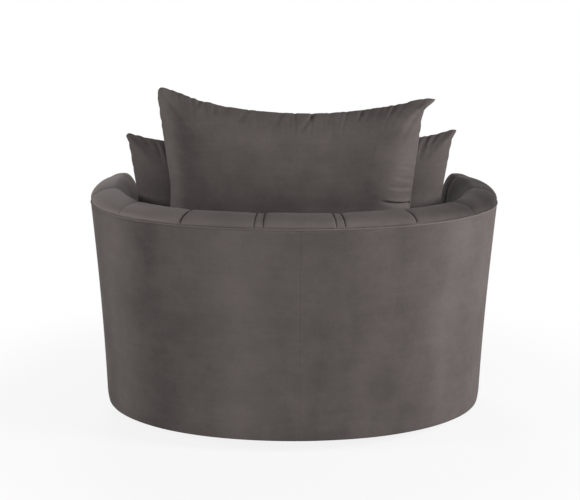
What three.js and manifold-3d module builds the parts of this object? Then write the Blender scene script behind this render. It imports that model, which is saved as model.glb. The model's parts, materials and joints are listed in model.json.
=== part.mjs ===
// Cuddle chair: a wide oval tub chair on a hidden swivel base, with a tufted inner back that rolls
// over the rim, a boxed seat cushion, one large back pillow and two small pillows.
// Millimetres, +Z up. The chair faces -Y and stands on z = 0, centred on the swivel's axis.

import * as THREE from 'three';
import { mergeVertices } from 'three/addons/utils/BufferGeometryUtils.js';
import Module from 'manifold-3d';

const wasm = await Module();
wasm.setup();

// Clearance between pieces that touch, and the overrun of a cutting tool
const GAP = 0.3;
const CUT_OVERRUN = 2;

// Tub: an oval plan that flares from the foot to the rim
const WIDTH = 1270;
const DEPTH = 990;
const PLAN_POWER = 2.1;
const SEAM_HEIGHT = 678;
const FLARE = 38;
const FLARE_POWER = 1.5;
const FOOT_ROUNDING = 13;
const FOOT_ROUNDING_HEIGHT = 40;
const ARM_END_TURN = THREE.MathUtils.degToRad(142);
const ARM_END_HEIGHT = 298;

// Upholstery
const COVER_THICKNESS = 3;
const HEM_WIDTH = 38;
const WALL_THICKNESS = 132;
const WALL_TIP_THICKNESS = 42;
const RIM_RISE = 35;
const ARM_RISE = 22;
const CREST_DEPTH_SHARE = 0.53;
const FRAME_SIDE_SHARE = 0.45;
const WELT_DIAMETER = 4;

// Tufting of the inner back
const TUFTS_PER_SIDE = 6;
const BUTTONED_TUFTS_PER_SIDE = 5;
const COLUMNS_PER_TUFT = 6;
const UPPER_BUTTON_HEIGHT = 600;
const LOWER_BUTTON_HEIGHT = 505;
const TUFT_DEPTH = 22;
const BUTTON_DIAMETER = 26;
const BUTTON_THICKNESS = 9;

// Frame: bent ply hoops, posts and arm panels
const PLY = 22;
const RAIL_WIDTH = 68;
const FRAME_INSET = 7;
const SEAT_RAIL_TOP = 262;
const POST_WIDTH = 44;
const POST_DEPTH = 40;
const ARM_PANEL_THICKNESS = 5;
const STRAP_COUNT = 3;
const WEBBING_WIDTH = 50;
const WEBBING_THICKNESS = 1.5;
const CROSS_RAIL_WIDTH = 60;
const CROSS_RAIL_HEIGHT = 42;
const CROSS_RAIL_SPACING = 220;

// Seat deck
const SPRING_COUNT = 5;
const SPRING_SPACING = 130;
const SPRING_WIRE = 4;
const SPRING_BENDS = 14;
const SPRING_SWING = 22;
const CLIP_WIDTH = 30;
const CLIP_LENGTH = 14;
const DECK_THICKNESS = 22;
const DUST_COVER_THICKNESS = 1.5;

// Seat cushion
const CUSHION_HEIGHT = 164;
const CUSHION_CROWN = 14;
const CUSHION_SIDE_SWELL = 5.6;
const CUSHION_CLEARANCE = 7;
const CUSHION_OVERHANG = 9;
const CUSHION_LEAD = 90;

// Pillows
const PILLOW_LEAN = THREE.MathUtils.degToRad(15);
const LARGE_PILLOW_SIDE_ROOM = 115;
const LARGE_PILLOW = {
  width: WIDTH - 2 * (WALL_THICKNESS + LARGE_PILLOW_SIDE_ROOM),
  height: 594,
  thickness: 190,
  columns: 20,
  rows: 16,
};
const LARGE_PILLOW_TILT = THREE.MathUtils.degToRad(-2);
const LARGE_PILLOW_OFFSET = 14;
const SMALL_PILLOW_ROOM = 49;
const SMALL_PILLOW = {
  width: WIDTH / 2 - WALL_THICKNESS - SMALL_PILLOW_ROOM,
  height: 470,
  thickness: 140,
  columns: 14,
  rows: 14,
};
const SMALL_PILLOW_TILT = THREE.MathUtils.degToRad(4);
const SMALL_PILLOW_ROOM_LEFT = 6;
const SMALL_PILLOW_ROOM_RIGHT = 33;
const PILLOW_CLEARANCE = 4;

// Swivel base
const GLIDE_DIAMETER = 28;
const GLIDE_HEIGHT = 4.7;
const GLIDE_COUNT = 6;
const RING_DIAMETER = 600;
const RING_TUBE = 25;
const BAR_WIDTH = 44;
const BAR_THICKNESS = 6;
const HUB_DIAMETER = 90;
const PLATE_DIAMETER = 300;
const PLATE_THICKNESS = 5;
const RACE_DIAMETER = 170;
const GROOVE_DEPTH = 1.8;
const BALL_DIAMETER = 12.7;
const BALL_COUNT = 14;
const CAGE_WIDTH = 24;
const CAGE_THICKNESS = 2;
const KINGPIN_DIAMETER = 16;
const BOLT_DIAMETER = 6;
const BOLT_CIRCLE = 250;
const SCREW_DIAMETER = 5;
const SCREW_SPREAD = 110;
const SCREW_LENGTH = 26;
const HEAD_SHARE = 2;
const HEAD_HEIGHT_SHARE = 0.42;
const BORE_CLEARANCE = 0.6;

// Heights of the stack, from the floor up
const ringCentreHeight = GLIDE_HEIGHT + GAP + RING_TUBE / 2;
const barBottom = ringCentreHeight - BAR_THICKNESS / 2;
const barTop = ringCentreHeight + BAR_THICKNESS / 2;
const lowerPlateBottom = barTop + GAP;
const lowerPlateTop = lowerPlateBottom + PLATE_THICKNESS;
const ballBottom = lowerPlateTop - GROOVE_DEPTH + GAP;
const ballTop = ballBottom + BALL_DIAMETER;
const upperPlateBottom = ballTop + GAP - GROOVE_DEPTH;
const upperPlateTop = upperPlateBottom + PLATE_THICKNESS;
const dustCoverBottom = upperPlateTop + GAP;
const dustCoverTop = dustCoverBottom + DUST_COVER_THICKNESS;
const hemBottom = dustCoverTop - COVER_THICKNESS;
const frameBottom = dustCoverTop + GAP;
const hoopTop = frameBottom + PLY;
const seatRailBottom = SEAT_RAIL_TOP - PLY;
const deckBottom = SEAT_RAIL_TOP + GAP;
const deckTop = deckBottom + DECK_THICKNESS;
const cushionBottom = deckTop + GAP;
const topRailTop = SEAM_HEIGHT + WELT_DIAMETER / 2;
const topRailBottom = topRailTop - PLY;

// Materials
const finish = (color, roughness, metalness = 0) =>
  new THREE.MeshStandardMaterial({ color, roughness, metalness });
const velvet = finish(0x57524f, 0.85);
const timber = finish(0xb08d62, 0.7);
const steel = finish(0x8c8f92, 0.35, 0.9);
const blackSteel = finish(0x202123, 0.5, 0.4);
const blackPlastic = finish(0x18181a, 0.55);
const webbingCloth = finish(0xa79a80, 0.9);
const feltCloth = finish(0xcfcac0, 0.95);
const blackCloth = finish(0x222224, 0.95);

// Small sums
const mix = (from, to, share) => from + (to - from) * share;
const clamp = (value) => Math.min(1, Math.max(0, value));
const smooth = (value) => clamp(value) ** 2 * (3 - 2 * clamp(value));
const span = (count) => Array.from({ length: count }, (unused, index) => index);
const power = (base, exponent) => Math.sign(base) * Math.abs(base) ** exponent;

// Positions only, shared vertices merged, slivers dropped and faces turned outwards
function solid(geometry) {
  const bare = new THREE.BufferGeometry();
  bare.setAttribute('position', geometry.getAttribute('position'));
  if (geometry.index) bare.setIndex(geometry.index);
  const merged = mergeVertices(bare);
  const position = merged.getAttribute('position');
  const corners = [0, 1, 2].map(() => new THREE.Vector3());
  const faces = [];
  let volume = 0;
  for (let face = 0; face < merged.index.count; face += 3) {
    const [a, b, c] = [0, 1, 2].map((corner) => merged.index.getX(face + corner));
    if (a === b || b === c || c === a) continue;
    [a, b, c].forEach((vertex, corner) => corners[corner].fromBufferAttribute(position, vertex));
    volume += corners[0].dot(corners[1].clone().cross(corners[2]));
    faces.push([a, b, c]);
  }
  if (volume < 0) faces.forEach((face) => face.reverse());
  merged.setIndex(faces.flat());
  return merged;
}

// Closed rings of points, each joined to the next; the ends are filled, or joined to each other
function loft(rings, { closed = false } = {}) {
  const size = rings[0].length;
  const points = rings.flat();
  const faces = [];
  const lastRing = closed ? rings.length : rings.length - 1;
  for (let ring = 0; ring < lastRing; ring += 1) {
    const next = (ring + 1) % rings.length;
    for (let index = 0; index < size; index += 1) {
      const a = ring * size + index;
      const b = ring * size + (index + 1) % size;
      const c = next * size + (index + 1) % size;
      const d = next * size + index;
      faces.push([a, b, c], [a, c, d]);
    }
  }
  if (!closed) {
    faces.push(...fillRing(rings[0], 0, true));
    faces.push(...fillRing(rings.at(-1), (rings.length - 1) * size, false));
  }
  return fromFaces(points, faces);
}

function fromFaces(points, faces) {
  const geometry = new THREE.BufferGeometry();
  geometry.setAttribute('position', new THREE.Float32BufferAttribute(
    points.flatMap((point) => [point.x, point.y, point.z]), 3));
  geometry.setIndex(faces.flat());
  return solid(geometry);
}

// Triangles that fill a flat ring, in the ring's own direction or against it
function fillRing(ring, firstIndex, reversed) {
  const normal = new THREE.Vector3();
  ring.forEach((point, index) => {
    const next = ring[(index + 1) % ring.length];
    normal.add(point.clone().cross(next));
  });
  normal.normalize();
  const across = ring[1].clone().sub(ring[0]).normalize();
  const up = normal.clone().cross(across);
  const flat = ring.map((point) => new THREE.Vector2(point.dot(across), point.dot(up)));
  return THREE.ShapeUtils.triangulateShape(flat, []).map((face) => {
    const [a, b, c] = face.map((index) => flat[index]);
    const turn = (b.x - a.x) * (c.y - a.y) - (b.y - a.y) * (c.x - a.x);
    const ordered = (turn > 0) === reversed ? [...face].reverse() : [...face];
    return ordered.map((index) => index + firstIndex);
  });
}

// A stack of like rings closed by a point at each end
function domed(rings, firstPole, lastPole) {
  const size = rings[0].length;
  const points = [...rings.flat(), firstPole, lastPole];
  const faces = [];
  for (let index = 0; index < size; index += 1) {
    const next = (index + 1) % size;
    faces.push([points.length - 2, next, index]);
    for (let ring = 0; ring < rings.length - 1; ring += 1) {
      const base = ring * size;
      faces.push([base + index, base + next, base + size + next]);
      faces.push([base + index, base + size + next, base + size + index]);
    }
    const last = (rings.length - 1) * size;
    faces.push([last + index, last + next, points.length - 1]);
  }
  return fromFaces(points, faces);
}

// A revolved profile of [radius, height] pairs about +Z
function turned(profile, segments = 24, startTurn = 0) {
  const points = profile.map(([radius, height]) => new THREE.Vector2(radius, height));
  const geometry = new THREE.LatheGeometry(points, segments, startTurn);
  geometry.rotateX(Math.PI / 2);
  return solid(geometry);
}

function flatPlate(outline, holes, bottom, thickness) {
  const shape = new THREE.Shape(outline);
  shape.holes = holes.map((hole) => new THREE.Path(hole));
  const geometry = new THREE.ExtrudeGeometry(shape, { depth: thickness, bevelEnabled: false });
  geometry.translate(0, 0, bottom);
  return solid(geometry);
}

function circlePoints(x, y, radius, count) {
  return span(count).map((index) => {
    const turn = 2 * Math.PI * (index + 0.5) / count;
    return new THREE.Vector2(x + radius * Math.cos(turn), y + radius * Math.sin(turn));
  });
}

function box(width, depth, height, x, y, bottom) {
  const geometry = new THREE.BoxGeometry(width, depth, height);
  geometry.translate(x, y, bottom + height / 2);
  return solid(geometry);
}

// Boolean cut of closed solids
function toManifold(geometry) {
  return new wasm.Manifold(new wasm.Mesh({
    numProp: 3,
    vertProperties: new Float32Array(geometry.getAttribute('position').array),
    triVerts: new Uint32Array(geometry.index.array),
  }));
}

function fromManifold(manifold) {
  const mesh = manifold.getMesh();
  const geometry = new THREE.BufferGeometry();
  geometry.setAttribute('position', new THREE.Float32BufferAttribute(mesh.vertProperties, 3));
  geometry.setIndex(Array.from(mesh.triVerts));
  return solid(geometry);
}

function cut(body, tools) {
  return fromManifold(tools.reduce((left, tool) => left.subtract(toManifold(tool)), toManifold(body)));
}

function fuse(bodies) {
  return fromManifold(bodies.map(toManifold).reduce((left, right) => left.add(right)));
}

function drill(diameter, x, y, from, to, sides = 8) {
  return flatPlate(circlePoints(x, y, diameter / 2, sides), [], from - CUT_OVERRUN,
    to - from + 2 * CUT_OVERRUN);
}

// The tub's plan is followed by its arc length from the middle of the back: positive towards the
// left arm (+X), negative towards the right arm
const ARC_SAMPLES = 4000;

function planPoint(turn) {
  return new THREE.Vector2(
    WIDTH / 2 * power(Math.sin(turn), 2 / PLAN_POWER),
    DEPTH / 2 * power(Math.cos(turn), 2 / PLAN_POWER));
}

const arcTable = span(ARC_SAMPLES + 1).reduce((table, index) => {
  const point = planPoint(Math.PI * index / ARC_SAMPLES);
  const last = table.at(-1);
  table.push({ point, arc: last ? last.arc + point.distanceTo(last.point) : 0 });
  return table;
}, []);
const halfPerimeter = arcTable.at(-1).arc;

function turnAtArc(arc) {
  let low = 0;
  let high = ARC_SAMPLES;
  while (high - low > 1) {
    const middle = Math.floor((low + high) / 2);
    if (arcTable[middle].arc > arc) high = middle;
    else low = middle;
  }
  const share = (arc - arcTable[low].arc) / (arcTable[high].arc - arcTable[low].arc);
  return Math.PI * (low + share) / ARC_SAMPLES;
}

const armArc = arcTable[Math.round(ARC_SAMPLES * ARM_END_TURN / Math.PI)].arc;
const tuftPitch = armArc / TUFTS_PER_SIDE;
const columnPitch = tuftPitch / COLUMNS_PER_TUFT;
const frontArc = 2 * (halfPerimeter - armArc);

const planCache = new Map();

function planAt(arc) {
  if (!planCache.has(arc)) {
    const wrapped = arc > halfPerimeter ? arc - 2 * halfPerimeter : arc;
    const point = planPoint(Math.sign(wrapped) * turnAtArc(Math.abs(wrapped)));
    const slope = PLAN_POWER - 1;
    const normal = new THREE.Vector2(
      power(2 * point.x / WIDTH, slope) / WIDTH,
      power(2 * point.y / DEPTH, slope) / DEPTH).normalize();
    planCache.set(arc, { point, normal });
  }
  return planCache.get(arc);
}

// How far the outer face stands in from the seam's plan at a height
function flareAt(height) {
  const lean = FLARE * (1 - clamp(height / SEAM_HEIGHT) ** FLARE_POWER);
  const rounding = clamp(1 - (height - hemBottom) / FOOT_ROUNDING_HEIGHT);
  return lean + FOOT_ROUNDING * rounding ** 2;
}

// A point of the wall: depth is measured inwards from the outer face
function wallPoint(arc, depth, height) {
  const { point, normal } = planAt(arc);
  const inset = flareAt(height) + depth;
  return new THREE.Vector3(point.x - normal.x * inset, point.y - normal.y * inset, height);
}

// Arcs from one end to the other, with each multiple of the step between them
function stations(from, to, step = columnPitch) {
  const inner = [];
  for (let index = Math.ceil(from / step); index * step < to; index += 1) {
    const arc = index * step;
    if (arc - from > step / 10 && to - arc > step / 10) inner.push(arc);
  }
  return [from, ...inner, to];
}

// Arcs all the way round: the arms and back in whole steps, and the front in equal ones
function loopStations(columnsPerStep) {
  const step = columnPitch * columnsPerStep;
  const frontCount = Math.round(frontArc / step);
  const around = stations(-armArc, armArc, step);
  const front = span(frontCount - 1).map((index) => armArc + frontArc * (index + 1) / frontCount);
  return [...around, ...front];
}

const fineLoop = loopStations(1);
const coarseLoop = loopStations(2);

// A solid that follows the wall: the section gives [depth, height] pairs at each arc
function alongWall(arcs, section, closed = false) {
  return loft(arcs.map((arc) => section(arc).map(([depth, height]) => wallPoint(arc, depth, height))),
    { closed });
}

const armShare = (arc) => clamp(Math.abs(arc) / armArc);

// The rim: level round the back, swept down to the front at the arms
const ARM_FALL_START_SHARE = 0.784;
const WALL_TAPER_START_SHARE = 0.72;
const RISE_START_SHARE = 0.35;
const RISE_END_SHARE = 0.75;
const RISE_FALL_SHARE = 0.78;
const RISE_TIP_SHARE = 0.2;

function seamHeight(arc) {
  const fall = smooth((armShare(arc) - ARM_FALL_START_SHARE) / (1 - ARM_FALL_START_SHARE));
  return mix(SEAM_HEIGHT, ARM_END_HEIGHT, fall);
}

function wallThickness(arc) {
  const taper = smooth((armShare(arc) - WALL_TAPER_START_SHARE) / (1 - WALL_TAPER_START_SHARE));
  return mix(WALL_THICKNESS, WALL_TIP_THICKNESS, taper);
}

function crestRise(arc) {
  const share = armShare(arc);
  const rise = RIM_RISE + ARM_RISE * smooth((share - RISE_START_SHARE) / (RISE_END_SHARE - RISE_START_SHARE));
  return rise * mix(1, RISE_TIP_SHARE, smooth((share - RISE_FALL_SHARE) / (1 - RISE_FALL_SHARE)));
}

// Swivel base
function baseRing() {
  const sides = 8;
  const segments = 32;
  const radius = RING_TUBE / 2 / Math.cos(Math.PI / sides);
  const profile = span(sides + 1).map((index) => {
    const turn = 2 * Math.PI * (index % sides + 0.5) / sides;
    return [RING_DIAMETER / 2 + radius * Math.cos(turn), ringCentreHeight + radius * Math.sin(turn)];
  });
  return turned(profile, segments, Math.PI / segments);
}

function baseCross() {
  const segments = 32;
  const reach = (RING_DIAMETER - RING_TUBE) / 2 * Math.cos(Math.PI / segments) - GAP;
  const half = BAR_WIDTH / 2;
  const hub = HUB_DIAMETER / 2;
  const arm = [[reach, -half], [reach, half], [hub, half], [half, hub]];
  const outline = span(4).flatMap((quarter) => {
    const turn = Math.PI / 4 + quarter * Math.PI / 2;
    return arm.map(([x, y]) => new THREE.Vector2(x, y).rotateAround(new THREE.Vector2(), turn));
  });
  const nutHeight = BOLT_DIAMETER / 2;
  const bars = flatPlate(outline, [], barBottom, BAR_THICKNESS);
  const weldNuts = boltCircle().map(([x, y]) => flatPlate(circlePoints(x, y, BOLT_DIAMETER, 6), [],
    barBottom - nutHeight, nutHeight + BAR_THICKNESS / 2));
  const bores = boltCircle().map(([x, y]) => drill(BOLT_DIAMETER + 2 * BORE_CLEARANCE, x, y,
    barBottom - nutHeight, barTop));
  const centreBore = drill(KINGPIN_DIAMETER + 2 * BORE_CLEARANCE, 0, 0, barBottom, barTop, 16);
  return cut(fuse([bars, ...weldNuts]), [...bores, centreBore]);
}

function boltCircle() {
  return span(4).map((index) => {
    const turn = Math.PI / 4 + index * Math.PI / 2;
    return [BOLT_CIRCLE / 2 * Math.cos(turn), BOLT_CIRCLE / 2 * Math.sin(turn)];
  });
}

function screwPlaces() {
  return [-1, 1].flatMap((side) => [-1, 1].map(
    (end) => [side * CROSS_RAIL_SPACING / 2, end * SCREW_SPREAD / 2]));
}

function glide(index) {
  const edge = GLIDE_HEIGHT / 5;
  const radius = GLIDE_DIAMETER / 2;
  const turn = 2 * Math.PI * index / GLIDE_COUNT;
  const foot = turned([[0, 0], [radius - edge, 0], [radius, edge], [radius, GLIDE_HEIGHT],
    [0, GLIDE_HEIGHT]], 12);
  foot.translate(RING_DIAMETER / 2 * Math.cos(turn), RING_DIAMETER / 2 * Math.sin(turn), 0);
  return foot;
}

// A round plate with a ball groove in one face; the face looks up or down
const GROOVE_WIDTH_SHARE = 0.75;
const GROOVE_BED_SHARE = 0.6;

function racePlate(bottom, grooveUp) {
  const top = bottom + PLATE_THICKNESS;
  const groove = GROOVE_WIDTH_SHARE * BALL_DIAMETER / 2;
  const bed = GROOVE_BED_SHARE * groove;
  const race = RACE_DIAMETER / 2;
  const bore = KINGPIN_DIAMETER / 2 + BORE_CLEARANCE;
  const face = grooveUp ? top : bottom;
  const floor = grooveUp ? top - GROOVE_DEPTH : bottom + GROOVE_DEPTH;
  const back = grooveUp ? bottom : top;
  return turned([[bore, back], [PLATE_DIAMETER / 2, back], [PLATE_DIAMETER / 2, face],
    [race + groove, face], [race + bed, floor], [race - bed, floor], [race - groove, face],
    [bore, face], [bore, back]], 24);
}

function lowerSwivelPlate() {
  const hole = BOLT_DIAMETER + 2 * BORE_CLEARANCE;
  return cut(racePlate(lowerPlateBottom, true),
    boltCircle().map(([x, y]) => drill(hole, x, y, lowerPlateBottom, lowerPlateTop)));
}

function upperSwivelPlate() {
  const hole = SCREW_DIAMETER + 2 * BORE_CLEARANCE;
  return cut(racePlate(upperPlateBottom, false),
    screwPlaces().map(([x, y]) => drill(hole, x, y, upperPlateBottom, upperPlateTop)));
}

function ballPlaces() {
  return span(BALL_COUNT).map((index) => {
    const turn = 2 * Math.PI * index / BALL_COUNT;
    return [RACE_DIAMETER / 2 * Math.cos(turn), RACE_DIAMETER / 2 * Math.sin(turn)];
  });
}

// The balls and the cage that spaces them are one body
function ballCage() {
  const middle = (ballBottom + ballTop) / 2;
  const outline = circlePoints(0, 0, (RACE_DIAMETER + CAGE_WIDTH) / 2, 28);
  const inside = circlePoints(0, 0, (RACE_DIAMETER - CAGE_WIDTH) / 2, 28);
  const cage = flatPlate(outline, [inside], middle - CAGE_THICKNESS / 2, CAGE_THICKNESS);
  const balls = ballPlaces().map(([x, y]) => {
    const ball = new THREE.SphereGeometry(BALL_DIAMETER / 2, 6, 4);
    ball.rotateX(Math.PI / 2);
    ball.translate(x, y, middle);
    return solid(ball);
  });
  return fuse([cage, ...balls]);
}

// A round head on a shank; the head's flat side is at headFace and the shank runs away from it
const HEAD_SHOULDER_SHARE = 0.6;
const HEAD_CROWN_SHARE = 0.7;
const NUT_HEIGHT_SHARE = 0.5;

function headedPin(diameter, headFace, shankEnd, segments = 8) {
  const direction = Math.sign(headFace - shankEnd);
  const radius = diameter / 2;
  const headRadius = radius * HEAD_SHARE;
  const headTop = headFace + direction * diameter * HEAD_HEIGHT_SHARE;
  return turned([[0, shankEnd], [radius, shankEnd], [radius, headFace], [headRadius, headFace],
    [headRadius, mix(headFace, headTop, HEAD_SHOULDER_SHARE)],
    [headRadius * HEAD_CROWN_SHARE, headTop], [0, headTop]], segments);
}

function hexNut(diameter, x, y, top) {
  const height = NUT_HEIGHT_SHARE * diameter;
  return flatPlate(circlePoints(x, y, diameter, 6), [circlePoints(x, y, diameter / 2 + BORE_CLEARANCE, 12)],
    top - height, height);
}

const NUT_REACH_SHARE = 0.6;

function kingpinBolt() {
  const end = barBottom - KINGPIN_DIAMETER * NUT_REACH_SHARE;
  return headedPin(KINGPIN_DIAMETER, upperPlateTop + GAP, end, 16);
}

function kingpinNut() {
  return hexNut(KINGPIN_DIAMETER, 0, 0, barBottom - GAP);
}

function plateBolt([x, y]) {
  const bolt = headedPin(BOLT_DIAMETER, lowerPlateTop + GAP, barBottom - BOLT_DIAMETER * NUT_REACH_SHARE);
  bolt.translate(x, y, 0);
  return bolt;
}

function plateScrew([x, y]) {
  const face = upperPlateBottom - GAP;
  const screw = headedPin(SCREW_DIAMETER, face, face + SCREW_LENGTH);
  screw.translate(x, y, 0);
  return screw;
}

// Frame
function hoop(bottom, closedLoop = coarseLoop) {
  const inner = FRAME_INSET + RAIL_WIDTH;
  return alongWall(closedLoop, () => [[FRAME_INSET, bottom], [inner, bottom], [inner, bottom + PLY],
    [FRAME_INSET, bottom + PLY]], true);
}

// Where a hoop's inner edge crosses a line of constant x, at the back (end 1) or front (end -1)
function hoopEdge(x, height, end) {
  const points = coarseLoop.map((arc) => wallPoint(arc, FRAME_INSET + RAIL_WIDTH, height));
  const crossings = points.flatMap((point, index) => {
    const next = points[(index + 1) % points.length];
    if ((point.x - x) * (next.x - x) > 0 || point.x === next.x) return [];
    return [mix(point.y, next.y, (x - point.x) / (next.x - point.x))];
  });
  return end * Math.max(...crossings.map((y) => y * end));
}

const LAP_SHARE = 0.6;

function crossRail(side) {
  const middle = side * CROSS_RAIL_SPACING / 2;
  const edges = [-1, 1].map((sign) => middle + sign * CROSS_RAIL_WIDTH / 2);
  const reach = (end, height) => end * Math.min(...edges.map((x) => end * hoopEdge(x, height, end)));
  const lapLength = RAIL_WIDTH * LAP_SHARE;
  const back = Math.min(reach(1, frameBottom), reach(1, hoopTop)) - GAP;
  const front = Math.max(reach(-1, frameBottom), reach(-1, hoopTop)) + GAP;
  const lap = hoopTop + GAP;
  const top = frameBottom + CROSS_RAIL_HEIGHT;
  const profile = [[front, frameBottom], [back, frameBottom], [back, lap], [back + lapLength, lap],
    [back + lapLength, top], [front - lapLength, top], [front - lapLength, lap], [front, lap]];
  const shape = new THREE.Shape(profile.map(([y, z]) => new THREE.Vector2(y, z)));
  const geometry = new THREE.ExtrudeGeometry(shape, { depth: CROSS_RAIL_WIDTH, bevelEnabled: false });
  geometry.rotateX(Math.PI / 2);
  geometry.rotateZ(Math.PI / 2);
  geometry.translate(middle - CROSS_RAIL_WIDTH / 2, 0, 0);
  const pilot = SCREW_DIAMETER + 2 * BORE_CLEARANCE;
  const holes = screwPlaces().filter(([x]) => x * side > 0).map(
    ([x, y]) => drill(pilot, x, y, frameBottom, upperPlateBottom + SCREW_LENGTH));
  return cut(solid(geometry), holes);
}

function post(arc, bottom, top) {
  const inner = FRAME_INSET + POST_DEPTH;
  const middle = (bottom + top) / 2;
  const section = [[FRAME_INSET, bottom], [inner, bottom], [inner, middle], [inner, top],
    [FRAME_INSET, top], [FRAME_INSET, middle]];
  return alongWall([arc - POST_WIDTH / 2, arc + POST_WIDTH / 2], () => section);
}

const UPPER_POSTS_PER_SIDE = 4;
const FRONT_POSTS = 3;
const railEndArc = UPPER_POSTS_PER_SIDE * tuftPitch + POST_WIDTH / 2;

function upperPost(index) {
  return post((index - UPPER_POSTS_PER_SIDE) * tuftPitch, SEAT_RAIL_TOP + GAP, topRailBottom - GAP);
}

// The base hoop with the short posts that are glued on it
function baseHoop() {
  const back = span(2 * TUFTS_PER_SIDE + 1).map((index) => (index - TUFTS_PER_SIDE) * tuftPitch);
  const front = span(FRONT_POSTS).map((index) => armArc + frontArc * (index + 1) / (FRONT_POSTS + 1));
  const posts = [...back, ...front].map(
    (arc) => post(arc, (frameBottom + hoopTop) / 2, seatRailBottom - GAP));
  return fuse([hoop(frameBottom), ...posts]);
}

// The seat rail with the clips that hold the springs' ends
const CLIP_HEIGHT_SHARE = 2.5;

function seatRailHoop() {
  const height = CLIP_HEIGHT_SHARE * SPRING_WIRE;
  const bottom = SEAT_RAIL_TOP - height;
  const length = CLIP_LENGTH + CLIP_WIDTH / 2;
  const clips = springRows().flatMap(({ x, back, front }) => [
    box(CLIP_WIDTH, length, height, x, back - CLIP_LENGTH + length / 2, bottom),
    box(CLIP_WIDTH, length, height, x, front + CLIP_LENGTH - length / 2, bottom)]);
  return fuse([hoop(seatRailBottom), ...clips]);
}

function topRail() {
  const inner = FRAME_INSET + POST_DEPTH;
  return alongWall(stations(-railEndArc, railEndArc, 2 * columnPitch), () => [
    [FRAME_INSET, topRailBottom], [inner, topRailBottom], [inner, topRailTop], [FRAME_INSET, topRailTop]]);
}

function armPanel(side) {
  const near = railEndArc + ARM_PANEL_THICKNESS;
  const far = armArc - ARM_PANEL_THICKNESS;
  const arcs = stations(near, far).map((arc) => side * arc);
  const inner = FRAME_INSET + ARM_PANEL_THICKNESS;
  return alongWall(arcs, (arc) => {
    const top = seamHeight(arc) - WELT_DIAMETER;
    const middle = (deckBottom + top) / 2;
    return [[FRAME_INSET, deckBottom], [inner, deckBottom], [inner, middle], [inner, top],
      [FRAME_INSET, top], [FRAME_INSET, middle]];
  });
}

function webbingStrap(index) {
  const face = FRAME_INSET + POST_DEPTH + 2 * GAP;
  const back = face + WEBBING_THICKNESS;
  const reach = railEndArc - GAP;
  const free = topRailBottom - SEAT_RAIL_TOP - STRAP_COUNT * WEBBING_WIDTH;
  const bottom = SEAT_RAIL_TOP + free * (index + 1) / (STRAP_COUNT + 1) + index * WEBBING_WIDTH;
  const top = bottom + WEBBING_WIDTH;
  return alongWall(stations(-reach, reach, 2 * columnPitch), () => [[face, bottom], [back, bottom],
    [back, top], [face, top]]);
}

// Seat deck
function springRows() {
  return span(SPRING_COUNT).map((index) => {
    const x = (index - (SPRING_COUNT - 1) / 2) * SPRING_SPACING;
    const edges = [x - CLIP_WIDTH / 2, x + CLIP_WIDTH / 2];
    const back = Math.min(...edges.map((edge) => hoopEdge(edge, seatRailBottom, 1))) - GAP;
    const front = Math.max(...edges.map((edge) => hoopEdge(edge, seatRailBottom, -1))) + GAP;
    return { x, back, front };
  });
}

function sinuousSpring({ x, back, front }) {
  const radius = SPRING_WIRE / 2;
  const wire = new THREE.Shape(circlePoints(0, 0, radius / Math.cos(Math.PI / 4), 4));
  const start = front + CLIP_LENGTH + GAP;
  const length = back - CLIP_LENGTH - GAP - start;
  const height = SEAT_RAIL_TOP - radius;
  const bends = span(SPRING_BENDS).map((bend) => new THREE.Vector3(
    x + (bend % 2 ? 1 : -1) * SPRING_SWING, start + length * (bend + 0.5) / SPRING_BENDS, height));
  const ends = [0, 2 * SPRING_WIRE, length - 2 * SPRING_WIRE, length].map(
    (along) => new THREE.Vector3(x, start + along, height));
  const path = new THREE.CatmullRomCurve3([...ends.slice(0, 2), ...bends, ...ends.slice(2)],
    false, 'catmullrom', 0.5);
  return solid(new THREE.ExtrudeGeometry(wire, { steps: 2 * SPRING_BENDS, extrudePath: path }));
}

// The outline inside the walls, which opens out over the front band past the arms
function interiorDepth(arc, clearance, frontDepth) {
  const pastArm = Math.abs(arc > halfPerimeter ? 2 * halfPerimeter - arc : arc) - armArc;
  const opened = smooth(pastArm / CUSHION_LEAD);
  return mix(wallThickness(arc) + clearance, frontDepth, opened);
}

const deckOutline = (height) => coarseLoop.map((arc) => wallPoint(arc,
  interiorDepth(arc, COVER_THICKNESS, COVER_THICKNESS + 2 * GAP), height));

function deckPad() {
  return loft([deckOutline(deckBottom), deckOutline(deckTop)]);
}

function dustCover() {
  const outline = coarseLoop.map((arc) => {
    const { x, y } = wallPoint(arc, HEM_WIDTH + GAP, dustCoverBottom);
    return new THREE.Vector2(x, y);
  });
  const holes = screwPlaces().map(([x, y]) => circlePoints(x, y, SCREW_DIAMETER / 2 + BORE_CLEARANCE, 6));
  const kingpinHole = circlePoints(0, 0, KINGPIN_DIAMETER / 2 * HEAD_SHARE + 2 * BORE_CLEARANCE, 12);
  return flatPlate(outline, [kingpinHole, ...holes], dustCoverBottom, DUST_COVER_THICKNESS);
}

// Outer covers: a skin from a hem under the frame up to the seam
const OUTER_LEVEL_SHARES = [0, 0.02, 0.06, 0.25, 0.5, 0.75, 1];
const INNER_LEVEL_SHARES = [1, 0.5, 0.06, 0.02];

function coverSection(top) {
  const shoulder = frameBottom - GAP;
  const outer = OUTER_LEVEL_SHARES.map((share) => [0, mix(hemBottom, top, share)]);
  const inner = INNER_LEVEL_SHARES.map((share) => [COVER_THICKNESS, mix(shoulder, top, share)]);
  return [...outer, ...inner, [COVER_THICKNESS, shoulder], [HEM_WIDTH, shoulder], [HEM_WIDTH, hemBottom]];
}

function outerCover(side) {
  const arcs = stations(GAP / 2, armArc - GAP / 2).map((arc) => side * arc);
  return alongWall(arcs, (arc) => coverSection(seamHeight(arc) - WELT_DIAMETER / 2 - GAP));
}

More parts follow.
